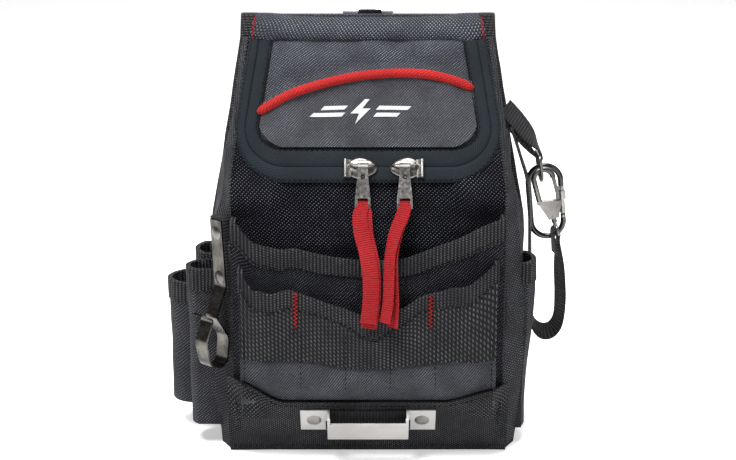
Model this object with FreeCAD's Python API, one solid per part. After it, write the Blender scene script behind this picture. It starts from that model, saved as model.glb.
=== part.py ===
import FreeCAD, Part

"""Zip-top electrician's tool pouch.

Frame: -Y points out of the front, +X to the right as seen from the front, +Z up.
The pieces are drawn with Y = 0 on the front face of the back panel and Z = 0 at the base. Each is
then moved by TO_BASE_CENTRE, so that the origin of the saved pieces is in the middle of the base.
All sizes are millimetres. One STEP file is written to parts/ for every separate piece.
"""

import os
from math import asin, atan2, cos, degrees, hypot, radians, sin, sqrt

Vec = FreeCAD.Vector
X = Vec(1, 0, 0)
Y = Vec(0, 1, 0)
Z = Vec(0, 0, 1)
FAR = 400.0
TO_BASE_CENTRE = Vec(0, 32, 0)

# Main bag: the outer shape at each height.
# Height, depth and half width of the front, depth and half width of the corner, half width at the back.
LEVELS = [
    (0.0, 74.0, 96.0, 62.0, 103.0, 107.0),
    (42.0, 80.0, 93.0, 68.0, 106.0, 114.0),
    (150.0, 77.0, 93.0, 65.0, 104.0, 111.0),
    (190.0, 66.0, 93.0, 56.0, 98.0, 103.0),
    (278.0, 8.0, 84.0, 5.0, 86.0, 87.0),
]
WALL = 2.2
BOTTOM_THICKNESS = 3.0
SEAM_INSET = 1.2

# Back panel: fabric, board and cover.
HEIGHT = 293.0
BACK_OUTLINE = [(0.0, 107.0), (42.0, 114.0), (150.0, 111.0), (190.0, 103.0), (278.0, 87.5), (HEIGHT, 86.5)]
BACK_FABRIC = 1.6
BACK_BOARD = 1.8
BACK_COVER = 1.2
BACK_THICKNESS = BACK_FABRIC + BACK_BOARD + BACK_COVER
BOARD_MARGIN = 14.0
BINDING_WIDTH = 9.0
BINDING_THICKNESS = 1.2

# Lid and zip, drawn flat in the plane of the sloping front.
HINGE_Z, HINGE_DEPTH = 278.0, 8.0
SLOPE_RUN = LEVELS[3][1] - LEVELS[4][1]
SLOPE_RISE = LEVELS[4][0] - LEVELS[3][0]
LID_TILT = degrees(atan2(SLOPE_RISE, SLOPE_RUN))
ZIP_TOP_HALF = 77.0
ZIP_LOW_HALF = 86.0
ZIP_DROP = 94.0
ZIP_RADIUS = 40.0
COIL_GAP = 1.1
COIL_WIDTH = 2.1
COIL_HEIGHT = 1.6
TAPE_THICKNESS = 0.9
BODY_TAPE_WIDTH = 4.5
LID_TAPE_WIDTH = 14.0
BODY_OPENING = 3.4
LID_THICKNESS = 2.0
LID_POCKET_THICKNESS = 1.6
LID_TOP_GAP = 1.5
TAPE_TOP_GAP = 4.0
PIPING_RADIUS = 3.3
ARCH_HALF_SPAN = 74.0
ARCH_RISE = 14.5
ARCH_CHORD_DROP = 43.0
ARCH_TILT = 6.5

# Sliders and their pulls.
SLIDER_X = (-3.5, 24.5)
SLIDER_LENGTH = 20.0
SLIDER_WIDTH = 13.0
SLIDER_PLATE = 1.5
SLIDER_CLEAR = 0.35
SLIDER_POST = 1.5
BRIDGE_HEIGHT = 5.0
BRIDGE_WIRE = 1.9
PULL_LENGTH = 30.0
PULL_WIDTH = 10.5
PULL_NECK = 7.0
PULL_THICKNESS = 1.6
PULL_LEAN = 18.0
RIBBON_WIDTH = 10.0
RIBBON_THICKNESS = 1.4
RIBBON_LEAN = 30.0
RIBBON_DRAPE = [(-89.0, 156.5), (-98.4, 121.0), (-99.8, 103.0)]

# Front pockets: depth at the fold above the lower band, and depth at the top.
FOLD_Z = 46.0
POCKET_WALL = 1.6
REAR_POCKET = {"half": 90.5, "low": (0.0, 91.6), "high": (180.0, 84.6), "dip": 147.0, "end": 172.0}
FRONT_POCKET = {"half": 86.0, "low": (0.0, 99.6), "high": (160.0, 93.2), "dip": 107.0, "end": 142.0}
TRIM_HEIGHT = 13.0
TRIM_THICKNESS = 0.8
POCKET_BAND = (76.0, 96.0)
BARTACK_X = 45.0
BARTACK = (96.0, 119.0, 2.2, 0.7)
BAND_THICKNESS = 2.0

# Sleeves on the left side and the flat pocket on the right.
SLEEVE_WALL = 1.6
SLEEVE_TRIM_HEIGHT = 14.0
REAR_SLEEVE = {"y": (-43.5, -12.0), "reach": 140.5, "z": (21.0, 111.0)}
FRONT_SLEEVE = {"y": (-67.5, -45.2), "reach": 124.0, "z": (15.0, 129.0)}
LEFT_POCKET = {"y": (-41.0, -12.0), "reach": 121.0, "z": (21.0, 132.0)}
RIGHT_POCKET = {"y": (-66.0, -38.0), "reach": 115.5, "z": (12.0, 133.0)}

# Steel bracket on the lower band for a tape measure's clip.
BRACKET_TAB = (26.0, 46.0)
BRACKET_RISE = (25.5, 46.0)
BRACKET_STEP = 8.5
BRACKET_SHEET = 1.5
RIVET_RADIUS = 5.0
RIVET_HEAD = 1.4

# Sprung steel hook on the left front corner.
HOOK_Z = 158.0
HOOK_WIDTH = 12.0
HOOK_SIDE = 0.45
HOOK_SHEET = 1.2
HOOK_LEAN = -4.0
HOOK_TAB = 3.0
HOOK_RIVETS = (0.0, -30.5)
HOOK_RIVET_RADIUS = 4.6

# Belt clip on the back.
CLIP_ARM_X = 11.5
CLIP_ARM_WIDTH = 12.0
CLIP_SHEET = 1.6
CLIP_GAP = 8.0
CLIP_TOP = 297.0
CLIP_FOOT = 215.0
CLIP_PLATE_TOP = 262.0
CLIP_WEBBING = 2.6

# Straps and hardware on the right side.
STRAP_THICKNESS = 1.5
STRAP_WIDTH = 18.0
TAPE_STRAP_WIDTH = 15.0
RING_Y = -20.5
RING_TOP = Vec(118.5, RING_Y, 199.0)
RING_WIRE = 1.3
RING_HALF = 11.5
RING_LEG = 4.5
RING_LEAN = 8.0
CARABINER_Y = -14.0
CARABINER_LEAN = 6.0
CARABINER_SHIFT = 3.0
CARABINER_WIRE = 2.1
CARABINER_HALF = 11.4
CARABINER_LENGTH = 56.0
GATE_LENGTH = 20.0
GATE_RADIUS = 2.5
SNAP_Y = -27.5
SNAP_LEAN = 16.0
SNAP_WIRE = 1.9
SNAP_HALF = 8.6
SNAP_SHIFT = 1.2
STRAP_IN_X = 115.5
STRAP_SHOULDER = (111.5, 176.0)
STRAP_OUT_X = 136.5
STRAP_BEND_Z = 78.0
STRAP_TOP_Z = 216.0


def box(x0, x1, y0, y1, z0, z1):
    return Part.makeBox(x1 - x0, y1 - y0, z1 - z0, Vec(x0, y0, z0))


def face(points):
    return Part.Face(Part.makePolygon(points + [points[0]]))


def prism(points, direction):
    return face(points).extrude(direction)


def cylinder(radius, start, end):
    run = end - start
    return Part.makeCylinder(radius, run.Length, start, run)


def mirror_x(shape):
    return shape.mirror(Vec(0, 0, 0), X)


def placed(shape, rotation, base):
    moved = shape.copy()
    moved.Placement = FreeCAD.Placement(base, rotation).multiply(moved.Placement)
    return moved


def ruled_loft(sections):
    wires = [Part.makePolygon(points + [points[0]]) for points in sections]
    return Part.makeLoft(wires, True, True)


def clean(shape):
    """The shape's solids, as one solid or a compound."""
    solids = [s for s in shape.Solids if s.Volume > 0.5]
    return solids[0] if len(solids) == 1 else Part.makeCompound(solids)


def save(name, shape):
    shape = clean(shape)
    if not shape.isValid() or not shape.Solids:
        raise ValueError(name + " is not a valid solid")
    shape.translate(TO_BASE_CENTRE)
    shape.exportStep("parts/" + name + ".step")


# Main bag


def bag_section(level, inset):
    z, depth, half, corner_depth, half_corner, half_back = level
    back = 0.0 if inset == 0 else 1.0
    lean = (half_back - half_corner) / corner_depth
    half_back_end = half_back - inset + lean * back
    right = [
        Vec(half - 0.6 * inset, -(depth - inset), z),
        Vec(half_corner - inset, -(corner_depth - 0.4 * inset), z),
        Vec(half_back_end, back, z),
    ]
    left = [Vec(-p.x, p.y, p.z) for p in reversed(right)]
    return left + right


def bag_solid(inset):
    return ruled_loft([bag_section(level, inset) for level in LEVELS])


def front_cutter():
    """The space that the front panel keeps of the bag's wall, between its two corner seams."""
    sections = []
    for z, depth, half, _, _, _ in LEVELS:
        x = half - SEAM_INSET
        sections.append(
            [Vec(-x, -depth + 4, z), Vec(-x, -depth - 5, z), Vec(x, -depth - 5, z), Vec(x, -depth + 4, z)]
        )
    return ruled_loft(sections)


# The lid's plane: x across, y up the slope, z out of the front


def on_lid(shape):
    return placed(shape, FreeCAD.Rotation(X, LID_TILT), Vec(0, -HINGE_DEPTH, HINGE_Z))


def zip_outline(offset, top=0.0):
    """The zip's U, moved outwards by offset, as a closed wire."""
    slant = (ZIP_LOW_HALF - ZIP_TOP_HALF) / ZIP_DROP
    widen = offset * sqrt(1 + slant**2)
    low = ZIP_DROP + offset
    radius = ZIP_RADIUS + offset
    corner_x = ZIP_TOP_HALF + widen + slant * low
    turn = atan2(1, slant)
    reach = radius * (1 - cos(turn)) / sin(turn)
    side = Vec(-slant, 1, 0).normalize()
    start = Vec(ZIP_TOP_HALF + widen + slant * -top, top, 0)
    corner = Vec(corner_x, -low, 0)
    tangent_side = corner + side * reach
    tangent_low = corner - X * reach
    centre = tangent_low + Y * radius
    middle = centre + (corner - centre).normalize() * radius
    right_arc = Part.Arc(tangent_side, middle, tangent_low)
    flip = [Vec(-p.x, p.y, 0) for p in (start, tangent_side, middle, tangent_low)]
    edges = [
        Part.LineSegment(start, tangent_side).toShape(),
        right_arc.toShape(),
        Part.LineSegment(tangent_low, flip[3]).toShape(),
        Part.Arc(flip[3], flip[2], flip[1]).toShape(),
        Part.LineSegment(flip[1], flip[0]).toShape(),
        Part.LineSegment(flip[0], start).toShape(),
    ]
    return Part.Wire(edges)


def zip_plate(offset, low, high, top=0.0):
    plate = Part.Face(zip_outline(offset, top)).extrude(Z * (high - low))
    plate.translate(Z * low)
    return plate


def zip_ring(inner, outer, low, high, top):
    ring = zip_plate(outer, low, high, top)
    hole = zip_plate(inner, low - 1, high + 1, top + 1)
    return ring.cut(hole)


def arch_centre():
    """Centre and radius of the slanting arch of the lid pocket's mouth."""
    radius = (ARCH_HALF_SPAN**2 + ARCH_RISE**2) / (2 * ARCH_RISE)
    down = FreeCAD.Rotation(Z, ARCH_TILT).multVec(Vec(0, ARCH_RISE - radius, 0))
    return Vec(0, -ARCH_CHORD_DROP, 0) + down, radius


def below_arch():
    centre, radius = arch_centre()
    return Part.makeCylinder(radius, 40, centre - Z * 20, Z)


def piping_tube():
    centre, radius = arch_centre()
    return Part.makeTorus(radius + PIPING_RADIUS + 0.2, PIPING_RADIUS, centre + Z * PIPING_RADIUS, Z)


def lid_parts():
    inner = -COIL_GAP - COIL_WIDTH
    panel = zip_plate(inner - 0.4, -LID_THICKNESS, 0.0, -LID_TOP_GAP)
    tape = zip_ring(-LID_TAPE_WIDTH, -COIL_GAP, 0.0, TAPE_THICKNESS, -TAPE_TOP_GAP)
    coil = zip_ring(inner, -COIL_GAP, -COIL_HEIGHT, 0.0, -TAPE_TOP_GAP)
    inside = zip_plate(-LID_TAPE_WIDTH - 0.3, 0.0, LID_POCKET_THICKNESS, -TAPE_TOP_GAP)
    pocket = inside.common(below_arch())
    piping_space = zip_plate(-LID_TAPE_WIDTH + 2.0, TAPE_THICKNESS, 3 * PIPING_RADIUS, -TAPE_TOP_GAP)
    piping_space = piping_space.fuse(zip_plate(-LID_TAPE_WIDTH - 0.3, 0.0, TAPE_THICKNESS, -TAPE_TOP_GAP))
    piping = piping_space.common(piping_tube())
    badge = box(-36, 26, -62, -50, LID_POCKET_THICKNESS, LID_POCKET_THICKNESS + 0.6)
    return {
        "lid_panel": panel,
        "lid_zip_tape": tape,
        "lid_zip_coil": coil,
        "lid_pocket": pocket,
        "lid_piping": piping,
        "lid_badge": badge,
    }


def slider_local(sign):
    """A slider in the lid's plane with its middle on the zip line; its open end points along sign."""
    half_l, half_w = SLIDER_LENGTH / 2, SLIDER_WIDTH / 2
    low = TAPE_THICKNESS + SLIDER_CLEAR
    outline = [
        Vec(-half_l, -half_w, low),
        Vec(0, -half_w, low),
        Vec(half_l, -0.35 * half_w, low),
        Vec(half_l, 0.35 * half_w, low),
        Vec(0, half_w, low),
        Vec(-half_l, half_w, low),
    ]
    top = prism(outline, Z * SLIDER_PLATE)
    under = -COIL_HEIGHT - SLIDER_CLEAR - LID_THICKNESS / 2
    foot = box(-half_l, half_l, -COIL_GAP + 0.4, half_w, under - SLIDER_PLATE, under)
    post_low = under - SLIDER_PLATE
    post = box(-half_l + 2, half_l - 4, -SLIDER_POST / 2, SLIDER_POST / 2, post_low, low)
    body = top.fuse(foot.common(box(-FAR, FAR, -SLIDER_POST / 2, FAR, -FAR, FAR))).fuse(post)
    deck = low + SLIDER_PLATE
    bar_z = deck + BRIDGE_HEIGHT - BRIDGE_WIRE / 2
    bar = cylinder(BRIDGE_WIRE / 2, Vec(-6, 0, bar_z), Vec(6, 0, bar_z))
    ends = box(-6.5, 6.5, -1.5, 1.5, deck, deck + BRIDGE_HEIGHT).cut(box(-4.6, 4.6, -3, 3, 0, 20))
    slider = body.fuse(ends).fuse(bar).removeSplitter()
    if sign < 0:
        slider = mirror_x(slider)
    return slider


def slider(index):
    sign = 1 if index == 0 else -1
    shape = slider_local(sign)
    shape.translate(Vec(SLIDER_X[index], -ZIP_DROP, 0))
    return on_lid(shape)


def pull_pivot(index):
    """The middle of the slider's bridge bar."""
    height = TAPE_THICKNESS + SLIDER_CLEAR + SLIDER_PLATE + BRIDGE_HEIGHT - BRIDGE_WIRE / 2
    local = Vec(SLIDER_X[index], -ZIP_DROP, height)
    turned = FreeCAD.Rotation(X, LID_TILT).multVec(local)
    return turned + Vec(0, -HINGE_DEPTH, HINGE_Z)


def pull(index):
    """A tapered pull with a rolled eye round the bridge bar and a slot for the ribbon; drawn hanging."""
    half, neck = PULL_WIDTH / 2, PULL_NECK / 2
    t = PULL_THICKNESS / 2
    bore = BRIDGE_WIRE / 2 + 0.35
    outline = [
        Vec(-neck, -t, -bore - 0.4),
        Vec(neck, -t, -bore - 0.4),
        Vec(neck, -t, -8),
        Vec(half, -t, -PULL_LENGTH + 6),
        Vec(half, -t, -PULL_LENGTH),
        Vec(-half, -t, -PULL_LENGTH),
        Vec(-half, -t, -PULL_LENGTH + 6),
        Vec(-neck, -t, -8),
    ]
    plate = prism(outline, Y * 2 * t)
    eye = cylinder(bore + 1.1, Vec(-neck, 0, 0), Vec(neck, 0, 0))
    bar_hole = cylinder(bore, Vec(-neck - 1, 0, 0), Vec(neck + 1, 0, 0))
    small_hole = cylinder(1.6, Vec(0, -5, -8.5), Vec(0, 5, -8.5))
    ribbon_slot = box(-half + 1.7, half - 1.7, -5, 5, -PULL_LENGTH + 2, -PULL_LENGTH + 7)
    shape = plate.fuse(eye).cut(bar_hole).cut(small_hole).cut(ribbon_slot).removeSplitter()
    return placed(shape, FreeCAD.Rotation(X, -PULL_LEAN), pull_pivot(index))


def ribbon_pivot(index):
    drop = FreeCAD.Rotation(X, -PULL_LEAN).multVec(Vec(0, 0, -PULL_LENGTH + 1))
    return pull_pivot(index) + drop


def ribbon(index):
    """A ribbon folded through the pull's slot; its doubled tail hangs over the pocket's edge."""
    t = RIBBON_THICKNESS
    pivot = ribbon_pivot(index)
    half = PULL_WIDTH / 2 - 2.1
    gap = 1.5
    outer = box(-half, half, -gap - t, gap + t, -10, gap + t)
    hole = box(-half - 1, half + 1, -gap, gap, -9, gap)
    turn = FreeCAD.Rotation(X, -RIBBON_LEAN)
    loop = placed(outer.cut(hole), turn, pivot)
    start = pivot + turn.multVec(Vec(0, 0, -9.5))
    points = [start] + [Vec(pivot.x, y, z) for y, z in RIBBON_DRAPE]
    profile = [p - Y * t for p in points] + [p + Y * t for p in reversed(points)]
    tail = prism([p - X * (RIBBON_WIDTH / 2) for p in profile], X * RIBBON_WIDTH)
    return loop.fuse(tail).removeSplitter()


# Pockets on the front


def pocket_depth(pocket, z):
    (z0, d0), (z1, d1) = pocket["low"], pocket["high"]
    return d0 + (d1 - d0) * (z - z0) / (z1 - z0)


def pocket_block(pocket, grow):
    """The pocket's full block, out to its outer face plus grow."""
    sections = []
    for z, depth in (pocket["low"], pocket["high"]):
        half = pocket["half"] + grow
        out = -depth - grow
        sections.append([Vec(-half, out, z), Vec(half, out, z), Vec(half, -50, z), Vec(-half, -50, z)])
    return ruled_loft(sections)


def pocket_mouth(pocket, grow):
    """A cylinder along Y that dips into the pocket's top edge."""
    sag = pocket["end"] - pocket["dip"]
    radius = (pocket["half"] ** 2 + sag**2) / (2 * sag)
    centre = Vec(0, -150, pocket["dip"] + radius)
    return Part.makeCylinder(radius + grow, 140, centre, Y)


def pocket_wall(pocket, behind):
    wall = pocket_block(pocket, 0).cut(pocket_block(pocket, -POCKET_WALL))
    wall = wall.cut(pocket_mouth(pocket, 0))
    return keep_lower(wall, pocket["end"]).cut(behind).cut(below_band())


def keep_lower(shape, top):
    return shape.common(box(-FAR, FAR, -FAR, FAR, 0, top))


def pocket_trim(pocket, wall, behind):
    """Webbing folded over the pocket's top edge."""
    t = TRIM_THICKNESS
    skin = pocket_block(pocket, t).cut(pocket_block(pocket, -POCKET_WALL - t))
    strip = skin.common(pocket_mouth(pocket, TRIM_HEIGHT)).cut(pocket_mouth(pocket, -t))
    return keep_lower(strip, pocket["end"]).cut(wall).cut(behind)


def below_band():
    """Everything outside the inner face of the lower band."""
    foot_y, fold_y = -LEVELS[0][1] - 0.2, -pocket_depth(FRONT_POCKET, FOLD_Z)
    slope = (fold_y - foot_y) / FOLD_Z
    top = FOLD_Z + 0.001
    points = [
        Vec(-FAR / 2, foot_y + slope * -20, -20),
        Vec(-FAR / 2, foot_y + slope * top, top),
        Vec(-FAR / 2, -FAR, top),
        Vec(-FAR / 2, -FAR, -20),
    ]
    return prism(points, X * FAR)


def band_frame():
    """Turn and origin of the lower band's plane: x across, y up the band, z out of it."""
    fold_y = -pocket_depth(FRONT_POCKET, FOLD_Z)
    foot_y = -LEVELS[0][1] - 0.2
    angle = degrees(atan2(FOLD_Z, fold_y - foot_y))
    return FreeCAD.Rotation(X, angle), Vec(0, foot_y, 0)


def lower_band():
    foot_y, fold_y = -LEVELS[0][1] - 0.2, -pocket_depth(FRONT_POCKET, FOLD_Z)
    out = BAND_THICKNESS * hypot(FOLD_Z, fold_y - foot_y) / FOLD_Z
    points = [
        Vec(-LEVELS[0][2], foot_y, 0),
        Vec(-LEVELS[0][2], fold_y, FOLD_Z),
        Vec(-LEVELS[0][2], fold_y - out, FOLD_Z),
        Vec(-LEVELS[0][2], foot_y - out, 0),
    ]
    return prism(points, X * 2 * LEVELS[0][2])


def pocket_layer(pocket, low, high):
    """A skin on the pocket's outer face, from low to high above it."""
    skin = pocket_block(pocket, high).cut(pocket_block(pocket, low))
    return skin.common(box(-FAR, FAR, -FAR, -pocket["high"][1] + 5, 0, FAR))


def pocket_webbing():
    layer = pocket_layer(FRONT_POCKET, 0, TRIM_THICKNESS)
    strip = layer.common(box(-80, 80, -FAR, 0, *POCKET_BAND))
    return strip.cut(pocket_mouth(FRONT_POCKET, TRIM_HEIGHT + 0.2))


def bartacks():
    low, high, width, thickness = BARTACK
    layer = pocket_layer(FRONT_POCKET, TRIM_THICKNESS, TRIM_THICKNESS + thickness)
    half = width / 2
    bars = [layer.common(box(x - half, x + half, -FAR, 0, low, high)) for x in (-BARTACK_X, BARTACK_X)]
    return Part.makeCompound(bars)


# Sleeves and pockets on the sides, drawn on the left and hollow inside


def sleeve_block(sleeve, inset, floor):
    """A block with a round outer side, from inside the bag to the sleeve's reach."""
    y0, y1 = sleeve["y"][0] + inset, sleeve["y"][1] - inset
    reach = sleeve["reach"] - inset
    middle = (y0 + y1) / 2
    round_depth = min((y1 - y0) / 2, reach - 117.0 if reach > 125 else 6.0)
    shoulder = reach - round_depth
    inner = 95.0
    edges = [
        Part.LineSegment(Vec(-inner, y0, 0), Vec(-shoulder, y0, 0)).toShape(),
        Part.Arc(Vec(-shoulder, y0, 0), Vec(-reach, middle, 0), Vec(-shoulder, y1, 0)).toShape(),
        Part.LineSegment(Vec(-shoulder, y1, 0), Vec(-inner, y1, 0)).toShape(),
        Part.LineSegment(Vec(-inner, y1, 0), Vec(-inner, y0, 0)).toShape(),
    ]
    low, high = sleeve["z"]
    block = Part.Face(Part.Wire(edges)).extrude(Z * (high - low - floor + (5 if inset > 0 else 0)))
    block.translate(Z * (low + floor))
    return block


def sleeve_wall(sleeve, behind):
    return sleeve_block(sleeve, 0, 0).cut(sleeve_block(sleeve, SLEEVE_WALL, SLEEVE_WALL)).cut(behind)


def sleeve_trim(sleeve, wall, behind):
    """Webbing folded over the sleeve's mouth."""
    t = TRIM_THICKNESS
    low, high = sleeve["z"]
    grown = dict(sleeve, z=(high - SLEEVE_TRIM_HEIGHT, high + t))
    strip = sleeve_block(grown, -t, 0).cut(sleeve_block(grown, SLEEVE_WALL + t, -2))
    return strip.cut(wall).cut(behind)


# Metal fittings


def rivet(centre, normal, radius, shank, head):
    """A domed rivet: a low head over a shank that goes into the fabric."""
    dome_radius = (radius**2 + head**2) / (2 * head)
    dome = Part.makeSphere(dome_radius, centre + normal * (head - dome_radius))
    cap = dome.common(cylinder(radius, centre, centre + normal * (head + 1)))
    return cap.fuse(cylinder(radius * 0.42, centre - normal * shank, centre + normal * 0.2)).removeSplitter()


def tape_bracket():
    """A hat-shaped steel sheet, drawn in the band's plane."""
    near, far = BRACKET_TAB
    low, high = BRACKET_RISE
    t, step = BRACKET_SHEET, BRACKET_STEP
    outline = [
        (-far, 0), (-near, 0), (-near, step), (near, step), (near, 0), (far, 0),
        (far, t), (near + t, t), (near + t, step + t), (-near - t, step + t), (-near - t, t), (-far, t),
    ]
    points = [Vec(x, low, BAND_THICKNESS + z) for x, z in outline]
    sheet = prism(points, Y * (high - low))
    notch = box(-near + 0.5, near - 0.5, high - 5, high + 1, BAND_THICKNESS + 2, BAND_THICKNESS + step + 5)
    sheet = sheet.cut(notch)
    shank = RIVET_RADIUS * 0.42 + 0.02
    for x in bracket_rivet_x():
        middle = Vec(x, (low + high) / 2, 0)
        sheet = sheet.cut(cylinder(shank, middle, middle + Z * 20))
    rotation, base = band_frame()
    return placed(sheet, rotation, base)


def bracket_rivet_x():
    middle = sum(BRACKET_TAB) / 2 + BRACKET_SHEET / 2
    return (-middle, middle)


def bracket_rivets():
    low, high = BRACKET_RISE
    top = BAND_THICKNESS + BRACKET_SHEET
    heads = [
        rivet(Vec(x, (low + high) / 2, top), Z, RIVET_RADIUS, BRACKET_SHEET, RIVET_HEAD)
        for x in bracket_rivet_x()
    ]
    rotation, base = band_frame()
    return placed(Part.makeCompound(heads), rotation, base)


def corner_facet():
    """Middle of the left corner facet at the hook's height, and its outward normal."""
    low, high = LEVELS[1], LEVELS[2]
    share = (HOOK_Z - 20 - low[0]) / (high[0] - low[0])
    depth, half, corner_depth, half_corner, _ = [a + (b - a) * share for a, b in zip(low[1:], high[1:])]
    front, side = Vec(-half, -depth, 0), Vec(-half_corner, -corner_depth, 0)
    across = (front - side).normalize()
    normal = Vec(across.y, -across.x, 0)
    return front + (side - front) * HOOK_SIDE, normal


def on_hook(shape):
    """From the hook's drawing plane (x out of the corner, y across the strip, z up) to the bag's corner."""
    middle, normal = corner_facet()
    turn = degrees(atan2(normal.y, normal.x))
    rotation = FreeCAD.Rotation(Z, turn).multiply(FreeCAD.Rotation(X, -HOOK_LEAN))
    base = Vec(middle.x, middle.y, HOOK_Z) + normal * 0.6
    return placed(shape, rotation, base)


def strip_from_path(points, radii, thickness, width, y_centre=0.0):
    """A bent strip: its middle line goes through points in the XZ plane with rounded corners."""
    edges = rounded_path(points, radii)
    path = Part.Wire(edges)
    start = points[0]
    along = (points[1] - points[0]).normalize()
    across = Vec(-along.z, 0, along.x)
    half = across * (thickness / 2)
    side = Y * (width / 2)
    corners = [start - half - side, start + half - side, start + half + side, start - half + side]
    profile = Part.makePolygon(corners + [corners[0]])
    pipe = Part.BRepOffsetAPI.MakePipeShell(path)
    pipe.add(profile)
    pipe.setTransitionMode(0)
    pipe.build()
    pipe.makeSolid()
    shape = pipe.shape()
    shape.translate(Y * y_centre)
    return shape


def rounded_path(points, radii):
    """Straight runs joined by tangent arcs, one radius for each inner point."""
    edges = []
    here = points[0]
    for before, corner, after, radius in zip(points, points[1:], points[2:], radii):
        a, b = (before - corner).normalize(), (after - corner).normalize()
        half_angle = a.getAngle(b) / 2
        reach = radius * cos(half_angle) / sin(half_angle)
        start, end = corner + a * reach, corner + b * reach
        bisector = (a + b).normalize()
        centre = corner + bisector * (radius / sin(half_angle))
        middle = centre - bisector * radius
        if (start - here).Length > 1e-4:
            edges.append(Part.LineSegment(here, start).toShape())
        edges.append(Part.Arc(start, middle, end).toShape())
        here = end
    edges.append(Part.LineSegment(here, points[-1]).toShape())
    return edges


def spring_hook():
    """One steel strip: riveted plate, bend outwards, teardrop loop, and a flared lip at the neck."""
    lift = HOOK_TAB + HOOK_SHEET / 2
    points = [
        Vec(lift, 0, 9),
        Vec(lift, 0, -36.8),
        Vec(lift + 9.5, 0, -56),
        Vec(lift + 0.5, 0, -72),
        Vec(lift + 4.0, 0, -91),
        Vec(lift + 17.0, 0, -90),
        Vec(lift + 20.0, 0, -72),
        Vec(lift + 12.4, 0, -57),
        Vec(lift + 21.0, 0, -52.0),
    ]
    strip = strip_from_path(points, [6, 3, 10, 6, 6, 10, 2.5], HOOK_SHEET, HOOK_WIDTH)
    shank = HOOK_RIVET_RADIUS * 0.42 + 0.02
    for z in HOOK_RIVETS:
        strip = strip.cut(cylinder(shank, Vec(0, 0, z), Vec(lift + 2, 0, z)))
    return on_hook(strip)


def hook_rivets():
    lift = HOOK_TAB + HOOK_SHEET
    heads = [rivet(Vec(lift, 0, z), X, HOOK_RIVET_RADIUS, HOOK_SHEET, 1.3) for z in HOOK_RIVETS]
    return on_hook(Part.makeCompound(heads))


def hook_tab():
    """Folded webbing under the riveted plate."""
    return on_hook(box(-2, HOOK_TAB, -7, 7, -40, 11))


def belt_clip():
    """Steel clip: a riveted plate, two arms over the top and a tongue down the outside of the belt."""
    inner = BACK_THICKNESS + CLIP_WEBBING + CLIP_SHEET / 2
    outer = inner + CLIP_GAP + CLIP_SHEET
    bend = (outer - inner) / 2 - 0.01
    top = CLIP_TOP - CLIP_SHEET / 2
    path = [
        Vec(0, inner, CLIP_FOOT + 6), Vec(0, inner, top), Vec(0, outer, top),
        Vec(0, outer, CLIP_FOOT + 8), Vec(0, outer + 5, CLIP_FOOT - 6),
    ]
    turned = [Vec(p.y, 0, p.z) for p in path]
    width = 2 * CLIP_ARM_X + CLIP_ARM_WIDTH
    strip = strip_from_path(turned, [bend, bend, 12], CLIP_SHEET, width)
    strip = placed(strip, FreeCAD.Rotation(Z, 90), Vec(0, 0, 0))
    window = CLIP_ARM_X - CLIP_ARM_WIDTH / 2
    strip = strip.cut(box(-window, window, 0, 60, CLIP_PLATE_TOP, CLIP_TOP + 5))
    shank = RIVET_RADIUS * 0.42 + 0.02
    for x, z in belt_rivet_places():
        strip = strip.cut(cylinder(shank, Vec(x, 0, z), Vec(x, inner + 2, z)))
    return strip


def belt_rivet_places():
    return [(-10.0, 232.0), (10.0, 232.0)]


def belt_rivets():
    seat = BACK_THICKNESS + CLIP_WEBBING + CLIP_SHEET
    heads = [rivet(Vec(x, seat, z), Y, RIVET_RADIUS, CLIP_SHEET, 1.3) for x, z in belt_rivet_places()]
    return Part.makeCompound(heads)


def clip_webbing():
    """Webbing folded at the top of the back panel, under the clip's plate."""
    wide = 38.0
    return box(-wide / 2 + 3, wide / 2 + 3, BACK_THICKNESS, BACK_THICKNESS + CLIP_WEBBING, 205, 295.5)


# Back panel


def back_layer(y0, y1, inset):
    right = [Vec(half - inset, y0, z) for z, half in BACK_OUTLINE]
    right[0].z += inset
    right[-1].z -= inset
    left = [Vec(-p.x, p.y, p.z) for p in reversed(right)]
    return prism(left + right, Y * (y1 - y0))


def edge_binding(side):
    """Webbing folded round one long edge of the back panel, above the pockets' level."""
    t = BINDING_THICKNESS
    outer = back_layer(-t, BACK_THICKNESS + t, -t)
    core = back_layer(0, BACK_THICKNESS, 0)
    middle = back_layer(-t - 1, BACK_THICKNESS + t + 1, BINDING_WIDTH)
    middle = middle.fuse(box(0, BACK_OUTLINE[-1][1] - BINDING_WIDTH, -FAR, FAR, 200, FAR))
    space = box(0, FAR, -FAR, FAR, 200, HEIGHT)
    band = outer.cut(core).cut(middle).common(space)
    band = band.cut(bag_solid(0))
    return band if side > 0 else mirror_x(band)


def top_band():
    """The strip of fabric between the lid's fold and the back panel's top edge."""
    points = [Vec(-77, -6.4, 281.6), Vec(-77, -0.05, 281.6), Vec(-77, -0.05, HEIGHT), Vec(-77, -2.4, HEIGHT)]
    return prism(points, X * 154)


# Straps and hardware on the right


def ring_turn():
    return FreeCAD.Rotation(Y, -RING_LEAN)


def round_bar(edges, radius, start, direction):
    profile = Part.Wire([Part.makeCircle(radius, start, direction)])
    pipe = Part.BRepOffsetAPI.MakePipeShell(Part.Wire(edges))
    pipe.add(profile)
    pipe.setTransitionMode(0)
    pipe.build()
    pipe.makeSolid()
    return pipe.shape()


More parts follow.
